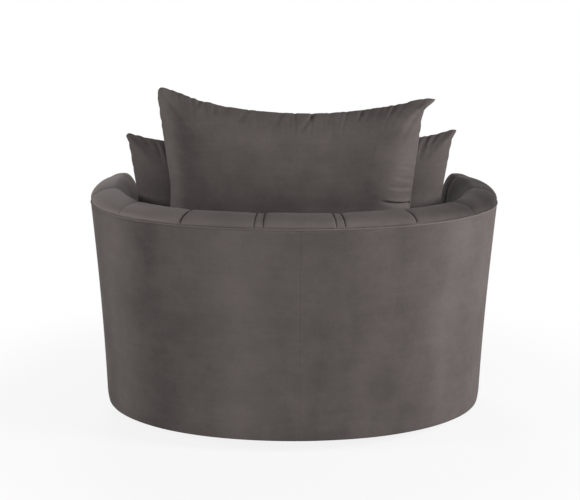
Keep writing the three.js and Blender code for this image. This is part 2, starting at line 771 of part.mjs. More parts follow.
function frontBandCover() {
  const front = fineLoop.filter((arc) => arc > armArc);
  const arcs = [armArc + GAP / 2, ...front, 2 * halfPerimeter - armArc - GAP / 2];
  return alongWall(arcs, () => coverSection(deckTop));
}

function rimWelt() {
  const radius = WELT_DIAMETER / 2;
  const middle = COVER_THICKNESS / 2 - radius / 4;
  return alongWall(stations(-armArc, armArc), (arc) => {
    const height = seamHeight(arc);
    return [[middle - radius, height], [middle, height - radius], [middle + radius, height],
      [middle, height + radius]];
  });
}

// Inner back: rows up the inner face, each with the columns of its crease and the depth of it.
// Upper buttons sit midway between lower ones, so the creases between the rows run slantwise.
const CREASE_SHARE = 0.55;
const ROLL_PLEAT_SHARES = [0.6, 0.42, 0.32, 0.32, 0.34, 0.3];

function padRows() {
  const seat = deckBottom + GAP;
  const rise = SEAM_HEIGHT - deckBottom;
  const lower = (LOWER_BUTTON_HEIGHT - deckBottom) / rise;
  const upper = (UPPER_BUTTON_HEIGHT - deckBottom) / rise;
  const half = COLUMNS_PER_TUFT / 2;
  return { seat, rows: [
    { share: 0, creases: [], depth: 0 },
    { share: lower, creases: [0], depth: 1 },
    { share: (lower + upper) / 2, creases: span(half - 1).map((index) => index + 1), depth: CREASE_SHARE },
    { share: upper, creases: [half], depth: 1 }] };
}

function columnOf(arc) {
  const column = Math.round(Math.abs(arc) / columnPitch) % COLUMNS_PER_TUFT;
  return Math.min(column, COLUMNS_PER_TUFT - column);
}

function tuftFade(arc) {
  return 1 - smooth(armShare(arc) * TUFTS_PER_SIDE - BUTTONED_TUFTS_PER_SIDE + 0.5);
}

function creaseDepth(arc, creases, share) {
  return creases.includes(columnOf(arc)) ? TUFT_DEPTH * share * tuftFade(arc) : 0;
}

function padSection(arc) {
  const { seat, rows } = padRows();
  const seam = seamHeight(arc);
  const wall = wallThickness(arc);
  const crestDepth = CREST_DEPTH_SHARE * wall;
  const crest = seam + crestRise(arc);
  const edge = seam + WELT_DIAMETER / 2 + GAP;
  const frameSide = FRAME_SIDE_SHARE * wall;
  const face = rows.map(({ share, creases, depth }) => [
    wall - creaseDepth(arc, creases, depth), mix(seat, seam, share)]);
  const shoulder = face.at(-1)[1];
  const quarter = ROLL_PLEAT_SHARES.length / 2;
  const roll = ROLL_PLEAT_SHARES.map((share, index) => {
    const turn = Math.PI / 2 * (index + 1) / quarter;
    const inner = turn <= Math.PI / 2;
    const pull = 1 - creaseDepth(arc, [COLUMNS_PER_TUFT / 2], share) / (crest - shoulder);
    const reach = inner ? wall - crestDepth : crestDepth;
    const base = inner ? shoulder : edge;
    const depth = crestDepth + reach * Math.cos(turn) * (inner ? pull : 1);
    return [depth, base + (crest - base) * Math.sin(turn) * (index + 1 < 2 * quarter ? pull : 1)];
  });
  return [...face, ...roll, [frameSide, edge], [frameSide, seat]];
}

function buttonPlaces() {
  const { seat, rows } = padRows();
  const places = [];
  for (let half = -2 * BUTTONED_TUFTS_PER_SIDE; half <= 2 * BUTTONED_TUFTS_PER_SIDE; half += 1) {
    const arc = half * tuftPitch / 2;
    const row = half % 2 ? rows.at(-1) : rows.find(({ depth }) => depth === 1);
    if (tuftFade(arc) > 0.9) {
      const depth = wallThickness(arc) - TUFT_DEPTH;
      places.push({ arc, depth, height: mix(seat, seamHeight(arc), row.share) });
    }
  }
  return places;
}

// Each button is drawn down into its dimple and sewn there
function tuftButton({ arc, depth, height }) {
  const radius = BUTTON_DIAMETER / 2;
  const crown = BUTTON_THICKNESS;
  const button = turned([[0, -crown / 3], [radius, crown / 3], [0, crown]], 6);
  const place = wallPoint(arc, depth, height);
  const { normal } = planAt(arc);
  button.lookAt(new THREE.Vector3(-normal.x, -normal.y, 0));
  button.translate(place.x, place.y, place.z);
  return button;
}

function innerBack() {
  const pad = alongWall(stations(-armArc, armArc), padSection);
  return fuse([pad, ...buttonPlaces().map(tuftButton)]);
}

// Seat cushion: boxed, crowned, flat where it lies on the deck
const SWELL_LEVEL_SHARES = [0.3, 0.7];
const CROWN_RINGS = [
  { planShare: 0.93, riseShare: 0.6 }, { planShare: 0.8, riseShare: 0.9 }, { planShare: 0.45, riseShare: 1 }];

function cushionRing(depthChange, height, planShare = 1) {
  const frontDepth = -CUSHION_OVERHANG;
  const centre = new THREE.Vector3(0, 0, height);
  return coarseLoop.map((arc) => {
    const depth = interiorDepth(arc, CUSHION_CLEARANCE, frontDepth) + depthChange;
    return centre.clone().lerp(wallPoint(arc, depth, height), planShare);
  });
}

function seatCushion() {
  const top = cushionBottom + CUSHION_HEIGHT;
  const edge = CUSHION_CROWN / 2;
  const rings = [
    cushionRing(CUSHION_CROWN, cushionBottom),
    cushionRing(0, cushionBottom + edge),
    ...SWELL_LEVEL_SHARES.map((share) => cushionRing(-CUSHION_SIDE_SWELL, mix(cushionBottom, top, share))),
    cushionRing(0, top - edge),
    ...CROWN_RINGS.map(({ planShare, riseShare }) => cushionRing(0, top - edge
      + (CUSHION_CROWN + edge) * riseShare, planShare))];
  return domed(rings, new THREE.Vector3(0, 0, cushionBottom),
    new THREE.Vector3(0, 0, rings.at(-1)[0].z));
}

// Pillows: two domed faces sewn along a drawn-in outline with pointed corners
const SIDE_DRAW_SHARE = 0.085;
const TOP_DRAW_SHARE = 0.15;
const LOWER_CORNER_TUCK_SHARE = 0.06;
const DRAW_POWER = 2.6;
const TUCK_POWER = 4;
const DOME_POWER = 0.42;
const EDGE_EASE_SHARE = 0.35;

function pillowPoint({ width, height, thickness }, u, v, face) {
  const tuck = LOWER_CORNER_TUCK_SHARE * clamp(-v) ** TUCK_POWER;
  const x = u * width / 2 * (1 - SIDE_DRAW_SHARE * (1 - Math.abs(v) ** DRAW_POWER) - tuck);
  const z = v * height / 2 * (1 - TOP_DRAW_SHARE * (1 - Math.abs(u) ** DRAW_POWER));
  const dome = Math.max(0, (1 - u * u) * (1 - v * v)) ** DOME_POWER;
  return new THREE.Vector3(x, face * thickness / 2 * dome, z);
}

// Grid places that crowd towards the edges, where the dome turns over
function easedPlaces(count) {
  return span(count + 1).map((index) => {
    const even = 2 * index / count - 1;
    return mix(even, Math.sin(even * Math.PI / 2), 1 - EDGE_EASE_SHARE);
  });
}

function pillow(size) {
  const across = easedPlaces(size.columns);
  const upward = easedPlaces(size.rows);
  const points = [];
  const faces = [];
  [-1, 1].forEach((face) => {
    const first = points.length;
    upward.forEach((v) => across.forEach((u) => points.push(pillowPoint(size, u, v, face))));
    const stride = size.columns + 1;
    for (let row = 0; row < size.rows; row += 1) {
      for (let column = 0; column < size.columns; column += 1) {
        const a = first + row * stride + column;
        const quad = [[a, a + 1, a + stride + 1], [a, a + stride + 1, a + stride]];
        quad.forEach((triangle) => faces.push(face > 0 ? triangle : [...triangle].reverse()));
      }
    }
  });
  return fromFaces(points, faces);
}

// Moves a loose piece along a direction until it meets a fixed one, then back by the clearance
const SETTLING_STEP = 5;
const SETTLING_ROUNDS = 8;

function settle(piece, target, direction, clearance) {
  target.computeBoundingBox();
  const furthest = target.boundingBox.getSize(new THREE.Vector3()).length();
  const moving = toManifold(piece);
  const fixed = toManifold(target);
  const along = (travel) => direction.clone().multiplyScalar(travel).toArray();
  const meets = (travel) => moving.translate(along(travel)).intersect(fixed).volume() > 0;
  let clear = 0;
  while (meets(clear) && clear > -furthest) clear -= SETTLING_STEP;
  let met = clear + SETTLING_STEP;
  while (!meets(met) && met < furthest) met += SETTLING_STEP;
  clear = met - SETTLING_STEP;
  for (let round = 0; round < SETTLING_ROUNDS; round += 1) {
    const middle = (clear + met) / 2;
    if (meets(middle)) met = middle;
    else clear = middle;
  }
  piece.translate(...along(clear - clearance));
}

const DOWN = new THREE.Vector3(0, 0, -1);
const BACK = new THREE.Vector3(0, 1, 0);
const PILLOW_START_SHARE = 1.5;

function leaningPillow(size, x, y, tilt) {
  const piece = pillow(size);
  piece.rotateY(tilt);
  piece.rotateX(-PILLOW_LEAN);
  piece.translate(x, y, cushionBottom + CUSHION_HEIGHT + CUSHION_CROWN + size.height / 2);
  return piece;
}

function largeBackPillow(cushion, back) {
  const inner = DEPTH / 2 - WALL_THICKNESS;
  const piece = leaningPillow(
    LARGE_PILLOW, LARGE_PILLOW_OFFSET, inner - LARGE_PILLOW.thickness, LARGE_PILLOW_TILT);
  settle(piece, cushion, DOWN, GAP);
  settle(piece, back, BACK, PILLOW_CLEARANCE);
  settle(piece, cushion, DOWN, GAP);
  return piece;
}

function smallPillow(side, cushion, large) {
  large.computeBoundingBox();
  const front = large.boundingBox.min.y - SMALL_PILLOW.thickness * PILLOW_START_SHARE;
  const room = side > 0 ? SMALL_PILLOW_ROOM_LEFT : SMALL_PILLOW_ROOM_RIGHT;
  const offset = WIDTH / 2 - WALL_THICKNESS - SMALL_PILLOW.width / 2 - room;
  const piece = leaningPillow(SMALL_PILLOW, side * offset, front, side * SMALL_PILLOW_TILT);
  settle(piece, cushion, DOWN, GAP);
  settle(piece, large, BACK, PILLOW_CLEARANCE);
  settle(piece, cushion, DOWN, GAP);
  return piece;
}

// The chair
const chair = new THREE.Group();

function add(group, name, geometry, material) {
  const mesh = new THREE.Mesh(geometry, material);
  mesh.name = name;
  group.add(mesh);
}

function addBase(group) {
  add(group, 'base_ring', baseRing(), blackSteel);
  add(group, 'base_cross', baseCross(), blackSteel);
  span(GLIDE_COUNT).forEach((index) => add(group, `glide_${index + 1}`, glide(index), blackPlastic));
  add(group, 'lower_swivel_plate', lowerSwivelPlate(), steel);
  boltCircle().forEach((place, index) => add(group, `plate_bolt_${index + 1}`, plateBolt(place), steel));
  add(group, 'ball_cage', ballCage(), steel);
  add(group, 'kingpin_bolt', kingpinBolt(), steel);
  add(group, 'kingpin_nut', kingpinNut(), steel);
}

function addFrame(group) {
  add(group, 'upper_swivel_plate', upperSwivelPlate(), steel);
  screwPlaces().forEach((place, index) => add(group, `plate_screw_${index + 1}`, plateScrew(place), steel));
  add(group, 'cross_rail_left', crossRail(1), timber);
  add(group, 'cross_rail_right', crossRail(-1), timber);
  add(group, 'base_hoop', baseHoop(), timber);
  add(group, 'seat_rail_hoop', seatRailHoop(), timber);
  span(2 * UPPER_POSTS_PER_SIDE + 1).forEach(
    (index) => add(group, `upper_post_${index + 1}`, upperPost(index), timber));
  add(group, 'top_rail', topRail(), timber);
  add(group, 'arm_panel_left', armPanel(1), timber);
  add(group, 'arm_panel_right', armPanel(-1), timber);
  span(STRAP_COUNT).forEach(
    (index) => add(group, `webbing_strap_${index + 1}`, webbingStrap(index), webbingCloth));
  springRows().forEach(
    (row, index) => add(group, `seat_spring_${index + 1}`, sinuousSpring(row), steel));
  add(group, 'deck_pad', deckPad(), feltCloth);
  add(group, 'dust_cover', dustCover(), blackCloth);
}

function addUpholstery(group, back) {
  add(group, 'outer_cover_left', outerCover(1), velvet);
  add(group, 'outer_cover_right', outerCover(-1), velvet);
  add(group, 'front_band_cover', frontBandCover(), velvet);
  add(group, 'rim_welt', rimWelt(), velvet);
  add(group, 'inner_back', back, velvet);
}

function addLoosePieces(group, cushion, back) {
  const large = largeBackPillow(cushion, back);
  add(group, 'seat_cushion', cushion, velvet);
  add(group, 'large_back_pillow', large, velvet);
  add(group, 'small_pillow_left', smallPillow(1, cushion, large), velvet);
  add(group, 'small_pillow_right', smallPillow(-1, cushion, large), velvet);
}

const [baseGroup, tubGroup, looseGroup] = span(3).map(() => new THREE.Group());
chair.add(baseGroup, tubGroup, looseGroup);
const tuftedBack = innerBack();
const cushion = seatCushion();
addBase(baseGroup);
addFrame(tubGroup);
addUpholstery(tubGroup, tuftedBack);
addLoosePieces(looseGroup, cushion, tuftedBack);

export default chair;
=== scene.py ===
"""Cuddle chair: the looks of a wide oval tub chair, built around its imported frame."""

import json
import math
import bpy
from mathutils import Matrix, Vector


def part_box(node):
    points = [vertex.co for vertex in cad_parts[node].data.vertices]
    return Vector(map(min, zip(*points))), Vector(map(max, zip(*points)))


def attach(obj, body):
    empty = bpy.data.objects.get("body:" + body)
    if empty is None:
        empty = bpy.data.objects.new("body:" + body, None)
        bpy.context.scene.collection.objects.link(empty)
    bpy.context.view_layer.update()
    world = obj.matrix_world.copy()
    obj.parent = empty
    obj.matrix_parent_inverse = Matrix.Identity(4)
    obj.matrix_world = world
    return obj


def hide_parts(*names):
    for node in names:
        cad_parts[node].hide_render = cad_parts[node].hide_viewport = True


bl_info = {
    "name": "Cuddle Chair",
    "version": (1, 0, 0),
    "blender": (4, 5, 0),
    "location": "View3D > Sidebar > Chair",
    "description": "Velvet tub, tufted inner back, loose pillows and swivel base of a wide chair",
    "category": "Object",
}

from typing import NamedTuple

import bmesh
import bpy
import numpy as np
from bpy.props import FloatProperty, FloatVectorProperty, PointerProperty
from mathutils import Matrix, Vector, noise
from mathutils.bvhtree import BVHTree

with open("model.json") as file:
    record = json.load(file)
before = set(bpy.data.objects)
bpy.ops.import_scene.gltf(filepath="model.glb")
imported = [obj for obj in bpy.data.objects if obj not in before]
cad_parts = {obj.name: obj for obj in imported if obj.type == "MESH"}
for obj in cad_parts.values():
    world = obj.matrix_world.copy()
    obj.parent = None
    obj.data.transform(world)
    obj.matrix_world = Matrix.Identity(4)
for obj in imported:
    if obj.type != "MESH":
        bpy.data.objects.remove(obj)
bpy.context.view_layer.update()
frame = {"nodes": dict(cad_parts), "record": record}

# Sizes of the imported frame
COVER_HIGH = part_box("outer_cover_left")[1]
WIDTH = 2 * COVER_HIGH.x
DEPTH = 2 * COVER_HIGH.y
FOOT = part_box("outer_cover_left")[0].z
WELT_RADIUS = 0.002
SEAM_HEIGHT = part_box("rim_welt")[1].z - WELT_RADIUS
ARM_END_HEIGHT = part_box("rim_welt")[0].z + WELT_RADIUS
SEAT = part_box("inner_back")[0].z
BAND_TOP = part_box("front_band_cover")[1].z
CUSHION_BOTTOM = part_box("seat_cushion")[0].z
CUSHION_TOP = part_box("seat_cushion")[1].z
DECK_BOTTOM, DECK_TOP = (corner.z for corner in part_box("deck_pad"))

# The tub's wall, as the frame has it. A span is the start and the run of an eased change, here in
# shares of the way from the middle of the back to an arm's end.
PLAN_POWER = 2.1
FLARE = 0.038
FLARE_POWER = 1.5
FOOT_ROUNDING = 0.004
FOOT_ROUNDING_HEIGHT = 0.040
ARM_END_TURN = math.radians(142)
SEAM_FALL_SPAN = (0.784, 0.216)
WALL_THICKNESS = 0.132
WALL_TIP_THICKNESS = 0.042
WALL_TAPER_SPAN = (0.72, 0.28)
RIM_RISE = 0.035
ARM_RISE = 0.021
ARM_RISE_SPAN = (0.35, 0.4)
TIP_RISE_SHARE = 0.2
TIP_FALL_SPAN = (0.78, 0.22)
CREST_DEPTH_SHARE = 0.53
ARM_CREST_DEPTH_SHARE = 0.56
CREST_SHIFT_SPAN = (0.35, 0.35)
LEFT_ARM_OVERHANG = -0.009
RIGHT_ARM_OVERHANG = 0.014
OVERHANG_SPAN = (0.6, 0.2)
FRAME_SIDE_SHARE = 0.45
COVER_THICKNESS = 0.003
HEM_WIDTH = 0.038
TUFTS_PER_SIDE = 6
BUTTONED_TUFTS = 5
UPPER_BUTTONS = 0.600
LOWER_BUTTONS = 0.505
CUSHION_CLEARANCE = 0.007
CUSHION_OVERHANG = 0.009
CUSHION_LEAD = 0.090
CUSHION_CROWN = 0.014

# Loose pillows, as the frame leans and tilts them
PILLOW_LEAN = math.radians(15)
LARGE_TILT = math.radians(-2)
SMALL_TILT = math.radians(4)


def number_prop(name, description, default, least=0.0, **more):
    return FloatProperty(name=name, description=description, default=default, min=least, **more)


def length_prop(name, description, default, least=0.0):
    return number_prop(name, description, default, least, unit="LENGTH")


def colour_prop(name, description, default):
    return FloatVectorProperty(
        name=name, description=description, default=default, subtype="COLOR", min=0, max=1)


class ChairSizes(bpy.types.PropertyGroup):
    """Sizes of the upholstery's own detail."""

    tuft_depth: length_prop("Tuft depth", "How far a button draws the inner back in", 0.022)
    button_diameter: length_prop("Button diameter", "Covered buttons of the inner back", 0.026, 0.01)
    pleat_depth: length_prop("Pleat depth", "How deep a pleat cuts into the roll", 0.0085)
    welt_diameter: length_prop("Rim edge", "Folded edge between the roll and the outer covers", 0.0046, 0.001)
    piping_diameter: length_prop("Cushion piping", "Piping along the seat cushion's edges", 0.008, 0.002)
    filling_pressure: number_prop("Filling pressure", "Air pressure that swells the pillows", 6.0)


class ChairColours(bpy.types.PropertyGroup):
    """Colours of the chair's finishes."""

    velvet: colour_prop("Velvet", "Warm grey pile of the upholstery", (0.1040, 0.0895, 0.0855))
    timber: colour_prop("Timber", "Bent ply and rails of the frame", (0.46, 0.27, 0.13))
    black_steel: colour_prop("Black steel", "Powder coat of the swivel base", (0.012, 0.012, 0.013))
    zinc: colour_prop("Zinc", "Plated plates, bolts and springs", (0.55, 0.56, 0.58))
    webbing: colour_prop("Webbing", "Woven straps behind the inner back", (0.36, 0.30, 0.20))
    lining: colour_prop("Lining", "Deck cloth and dust cover", (0.016, 0.016, 0.017))


class StudioSettings(bpy.types.PropertyGroup):
    """Light and camera of the studio."""

    lens: number_prop("Lens", "Focal length in millimetres on a 36 mm sensor", 82.1, 20)
    key_power: number_prop("Key light", "Large lamp to the right of the chair's back", 222)
    fill_power: number_prop("Fill light", "Lamp at the left of the chair", 110)
    back_power: number_prop("Back light", "Lamp over the camera behind the chair", 40)
    front_power: number_prop("Front light", "Lamp before the seat", 100)


def smooth(value):
    """Eased step from 0 to 1."""
    value = np.clip(value, 0, 1)
    return value * value * (3 - 2 * value)


def eased(value, start, run):
    """Eased step from 0 at start to 1 a run further on."""
    return smooth((value - start) / run)


def mix(start, end, share):
    return start + (end - start) * share


def power(base, exponent):
    return np.sign(base) * np.abs(base) ** exponent


# The plan of the tub, followed by its arc length from the middle of the back, positive towards +X
ARC_SAMPLES = 4000
TURNS = np.linspace(0, math.pi, ARC_SAMPLES + 1)


def plan_point(turn):
    return np.stack([WIDTH / 2 * power(np.sin(turn), 2 / PLAN_POWER),
                     DEPTH / 2 * power(np.cos(turn), 2 / PLAN_POWER)], axis=-1)


PLAN_STEPS = np.linalg.norm(np.diff(plan_point(TURNS), axis=0), axis=1)
ARCS = np.concatenate([[0], np.cumsum(PLAN_STEPS)])
HALF_ROUND = ARCS[-1]
ARM_ARC = float(np.interp(ARM_END_TURN, TURNS, ARCS))
TUFT_PITCH = ARM_ARC / TUFTS_PER_SIDE


def plan_at(arc):
    """Points of the plan and its outward normals at arcs."""
    arc = np.asarray(arc, float)
    wrapped = np.where(arc > HALF_ROUND, arc - 2 * HALF_ROUND, arc)
    turn = np.sign(wrapped) * np.interp(np.abs(wrapped), ARCS, TURNS)
    point = plan_point(turn)
    slope = PLAN_POWER - 1
    normal = np.stack([power(2 * point[..., 0] / WIDTH, slope) / WIDTH,
                       power(2 * point[..., 1] / DEPTH, slope) / DEPTH], axis=-1)
    return point, normal / np.linalg.norm(normal, axis=-1, keepdims=True)


def arcs_near(places):
    """The arcs of the plan behind places, as seen from the axis."""
    turns = np.arctan2(places[:, 0] / WIDTH, places[:, 1] / DEPTH)
    return np.copysign(np.interp(np.abs(turns), TURNS, ARCS), places[:, 0])


def flare_at(height):
    """How far the outer face stands in from the seam's plan."""
    lean = FLARE * (1 - np.clip(height / SEAM_HEIGHT, 0, 1) ** FLARE_POWER)
    rounding = np.clip(1 - (height - FOOT) / FOOT_ROUNDING_HEIGHT, 0, 1)
    return lean + FOOT_ROUNDING * rounding ** 2


def wall_points(arc, depth, height):
    """Points of the wall: depth is measured inwards from the outer face."""
    arc, depth, height = np.broadcast_arrays(arc, depth, height)
    point, normal = plan_at(arc)
    flat = point - normal * (flare_at(height) + depth)[..., None]
    return np.concatenate([flat, height[..., None]], axis=-1)


def along_arm(arc, start, run):
    """Eased step over a span of the way from the middle of the back to an arm's end."""
    return eased(np.clip(np.abs(arc) / ARM_ARC, 0, 1), start, run)


def seam_height(arc):
    return mix(SEAM_HEIGHT, ARM_END_HEIGHT, along_arm(arc, *SEAM_FALL_SPAN))


def wall_thickness(arc):
    return mix(WALL_THICKNESS, WALL_TIP_THICKNESS, along_arm(arc, *WALL_TAPER_SPAN))


def crest_rise(arc):
    rise = RIM_RISE + ARM_RISE * along_arm(arc, *ARM_RISE_SPAN)
    return rise * mix(1, TIP_RISE_SHARE, along_arm(arc, *TIP_FALL_SPAN))


def arm_overhang(arc):
    """How far the stuffing of an arm's roll leans inwards."""
    return along_arm(arc, *OVERHANG_SPAN) * np.where(arc > 0, LEFT_ARM_OVERHANG, RIGHT_ARM_OVERHANG)


def interior_depth(arc, clearance, front_depth):
    """The outline inside the walls, which opens out over the front band past the arms."""
    arc = np.abs(np.where(arc > HALF_ROUND, 2 * HALF_ROUND - arc, arc))
    return mix(wall_thickness(arc) + clearance, front_depth, eased(arc, ARM_ARC, CUSHION_LEAD))


# Meshes
WELD = 1e-5
FINE_WELD = 1e-6
NEXT_TO_NOTHING = 1e-9
SEED_STEPS = (17.3, -5.1, 9.7)
# Steps round the section of the rim's edge and of the piping
PIPE_TURNS = np.linspace(0, math.tau, 11)


def wobble(points, size, seed):
    """A smooth field of about -1 to 1 over points, whose features are about size across."""
    shift = Vector([seed * step for step in SEED_STEPS])
    flat = points.reshape(-1, 3) / size
    values = [noise.noise(Vector(point) + shift) for point in flat]
    return np.array(values).reshape(points.shape[:-1])


def surface_normals(places):
    """Unit normals of a grid of places, across its rows and columns."""
    normals = np.cross(np.gradient(places, axis=1), np.gradient(places, axis=0))
    return normals / np.maximum(np.linalg.norm(normals, axis=-1, keepdims=True), NEXT_TO_NOTHING)


def cloth_grid(places):
    """A bmesh grid whose vertices lie at places[row, column]."""
    rows, columns = places.shape[:2]
    work = bmesh.new()
    bmesh.ops.create_grid(work, x_segments=columns - 1, y_segments=rows - 1, size=1)
    for vertex in work.verts:
        column = round((vertex.co.x + 1) / 2 * (columns - 1))
        row = round((vertex.co.y + 1) / 2 * (rows - 1))
        vertex.co = places[row, column]
    return work


def closed_grid(places):
    """A grid joined where its edges meet, filled where it is still open, and turned outwards."""
    work = cloth_grid(places)
    bmesh.ops.remove_doubles(work, verts=work.verts, dist=WELD)
    bmesh.ops.dissolve_degenerate(work, edges=work.edges, dist=FINE_WELD)
    open_edges = [edge for edge in work.edges if edge.is_boundary]
    if open_edges:
        bmesh.ops.holes_fill(work, edges=open_edges, sides=0)
    bmesh.ops.recalc_face_normals(work, faces=work.faces)
    return work


def spin_round(work, steps):
    """Turns the outline in work once round the upright axis."""
    bmesh.ops.spin(work, geom=work.verts[:] + work.edges[:], cent=(0, 0, 0), axis=(0, 0, 1),
                   angle=math.tau, steps=steps, use_merge=True)
    bmesh.ops.remove_doubles(work, verts=work.verts, dist=FINE_WELD)
    bmesh.ops.recalc_face_normals(work, faces=work.faces)


def turn_outwards(work):
    """Turns a sheet's faces so that they look away from the axis."""
    work.normal_update()
    total = 0
    for face in work.faces:
        middle = face.calc_center_median()
        total += face.normal.dot(Vector((middle.x, middle.y, 0))) * face.calc_area()
    if total < 0:
        bmesh.ops.reverse_faces(work, faces=work.faces)


def mesh_of(name, work):
    mesh = bpy.data.meshes.new(name)
    work.to_mesh(mesh)
    work.free()
    return mesh


def add_object(name, data):
    added = bpy.data.objects.new(name, data)
    bpy.context.scene.collection.objects.link(added)
    return added


def finish_piece(name, work, material, body, replaced=()):
    """Makes the object of a finished bmesh and says what it rides on and stands for."""
    for face in work.faces:
        face.smooth = True
    piece = add_object(name, mesh_of(name, work))
    piece.data.materials.append(bpy.data.materials[material])
    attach(piece, body)
    if replaced:
        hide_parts(*replaced)
    return piece


def velvet_piece(name, work, replaced=(), body="tub", material="tub_velvet"):
    return finish_piece(name, work, material, body, replaced)


def thicken(piece, thickness):
    wall = piece.modifiers.new("cloth thickness", "SOLIDIFY")
    wall.thickness = thickness
    wall.offset = -1


# Materials
class Wire:
    """A number that a node puts out. A sum or product of wires adds a Math node."""

    def __init__(self, nodes, socket):
        self.nodes = nodes
        self.socket = socket

    def beside(self, output):
        """Another output of the node that this wire leaves."""
        return Wire(self.nodes, self.socket.node.outputs[output])

    def maths(self, operation, first, second):
        return self.nodes.node("ShaderNodeMath", {"operation": operation}, {0: first, 1: second})

    def __add__(self, other):
        return self.maths("ADD", self, other)

    def __mul__(self, other):
        return self.maths("MULTIPLY", self, other)


class Nodes:
    """A node tree whose nodes are added one at a time."""

    def __init__(self, tree):
        self.tree = tree

    def node(self, kind, settings=None, sockets=None, output=0):
        """Adds a node: first its settings, then the values or wires of its sockets."""
        made = self.tree.nodes.new(kind)
        for key, value in (settings or {}).items():
            if key == "stops":
                for stop, (place, colour) in zip(made.color_ramp.elements, value):
                    stop.position = place
                    stop.color = (*colour, 1)
            else:
                setattr(made, key, value)
        for key, value in (sockets or {}).items():
            self.plug(made.inputs[key], value)
        return Wire(self, made.outputs[output])

    def plug(self, socket, value):
        if isinstance(value, Wire):
            self.tree.links.new(value.socket, socket)
        else:
            socket.default_value = value

    def blend_colours(self, share, first, second):
        return self.node("ShaderNodeMix", {"data_type": "RGBA"}, {0: share, 6: first, 7: second}, 2)

    def seen(self):
        """1 for rays from the camera, from gloss and through glass, else 0."""
        camera = self.node("ShaderNodeLightPath", output="Is Camera Ray")
        gloss = camera.maths("MAXIMUM", camera, camera.beside("Is Glossy Ray"))
        return gloss.maths("MAXIMUM", gloss, camera.beside("Is Transmission Ray"))


class Finish(Nodes):
    """A material on one shader."""

    def __init__(self, name):
        self.material = bpy.data.materials.new(name)
        self.material.use_nodes = True
        super().__init__(self.material.node_tree)
        self.shader = self.tree.nodes["Principled BSDF"]

    def surface(self, **values):
        """Sets the shader's sockets, named with underscores for spaces."""
        for key, value in values.items():
            self.plug(self.shader.inputs[key.replace("_", " ")], value)

    def place(self, scale=(1, 1, 1), turn=(0, 0, 0)):
        """Object coordinates, stretched and turned."""
        coordinates = self.node("ShaderNodeTexCoord", output="Object")
        return self.node("ShaderNodeMapping", {}, {"Vector": coordinates, "Scale": scale, "Rotation": turn})

    def noise(self, scale, detail=2, roughness=0.5, where=None):
        where = where or self.place()
        return self.node("ShaderNodeTexNoise", {}, {
            "Vector": where, "Scale": scale, "Detail": detail, "Roughness": roughness})

    def bump(self, height, distance, strength, under=None):
        sockets = {"Height": height, "Distance": distance, "Strength": strength}
        if under:
            sockets["Normal"] = under
        return self.node("ShaderNodeBump", {}, sockets)

    def bands(self, axis, where, scale, distortion, detail=2):
        """Wavy bands across an axis."""
        return self.node("ShaderNodeTexWave", {"wave_type": "BANDS", "bands_direction": axis}, {
            "Vector": where, "Scale": scale, "Distortion": distortion, "Detail": detail})

    def paint(self, colour, share, darker, lighter, **values):
        """Colours the surface between two shades, sets its other sockets and gives the material."""
        tone = self.blend_colours(share, shade(colour, darker), shade(colour, lighter))
        self.surface(Base_Color=tone, **values)
        return self.material


def shade(colour, factor):
    return (*[min(1.0, channel * factor) for channel in colour], 1)


# The velvet: how far its painted light and shade can make it darker and lighter than its colour, with its
# mottle in the middle of that range, and the stretch and share of each pattern that was brushed into it
DARKEST_PAINTED_SHADE = 0.25
LIGHTEST_PAINTED_LIGHT = 1.75
PILE_MOTTLE = 0.095
DOWN_STREAKS = (13, 13, 2.5)
ACROSS_STREAKS = (6, 6, 75)
PATCH_SHARE = 0.50
DOWN_SHARE = 0.18
ACROSS_SHARE = 0.12
PILE_SHARE = 0.20
SHEEN_TINT = (0.80, 0.78, 0.76, 1)
# How much lighter the rim's folded edge is painted: a painted highlight along the fold
EDGE_HIGHLIGHT = 1.3
# Name of the attribute that holds each piece's painted light and shade
PAINTED_SHADING = "nap"


def velvet_finish(name, colour, streak_turn=0.0):
    """Short pile: brushed patches and streaks, a sheen at grazing angles, and the piece's painted light and
    shade.
    """
    velvet = Finish(name)
    turn = (streak_turn, 0, 0)
    down = velvet.noise(scale=1, detail=3, roughness=0.5, where=velvet.place(DOWN_STREAKS, turn))
    across = velvet.noise(scale=1, detail=3, roughness=0.6, where=velvet.place(ACROSS_STREAKS, turn))
    patches = velvet.noise(scale=8.5, detail=7, roughness=0.68)
    pile = velvet.noise(scale=260, detail=2, roughness=0.6)
    brushed = patches * PATCH_SHARE + down * DOWN_SHARE + across * ACROSS_SHARE + pile * PILE_SHARE
    mottle = velvet.node("ShaderNodeMapRange", {}, {
        "Value": brushed, "From Min": 0.40, "From Max": 0.60,
        "To Min": 0.5 - PILE_MOTTLE, "To Max": 0.5 + PILE_MOTTLE})
    # Painted light and shade from the piece's attribute, added to the mottle's share of the colour
    nap = velvet.node("ShaderNodeAttribute", {"attribute_name": PAINTED_SHADING}, output="Fac")
    weave = velvet.noise(scale=900, detail=2, roughness=0.7)
    soft = velvet.noise(scale=38, detail=3, roughness=0.6)
    coarse = velvet.bump(soft, distance=0.0006, strength=0.5)
    return velvet.paint(colour, mottle + nap, DARKEST_PAINTED_SHADE, LIGHTEST_PAINTED_LIGHT, Roughness=mottle * 0.1 + 0.78,
                       Normal=velvet.bump(weave, distance=0.0002, strength=0.35, under=coarse),
                       Specular_IOR_Level=0.05, Sheen_Weight=0.06, Sheen_Roughness=0.45,
                       Sheen_Tint=SHEEN_TINT)


def banded(places, bands):
    """Painted light and shade across places, from bands of (middle, width, amount)."""
    return sum(amount * np.exp(-((places - middle) / width) ** 2) for middle, width, amount in bands)


def vertex_places(piece):
    places = np.zeros(3 * len(piece.data.vertices))
    piece.data.vertices.foreach_get("co", places)
    return places.reshape(-1, 3)


def paint_shading(piece, amounts):
    """Keeps the painted light and shade at each vertex: 0 is the velvet's own colour."""
    nap = piece.data.attributes.new(PAINTED_SHADING, "FLOAT", "POINT")
    nap.data.foreach_set("value", np.asarray(amounts, np.float32))


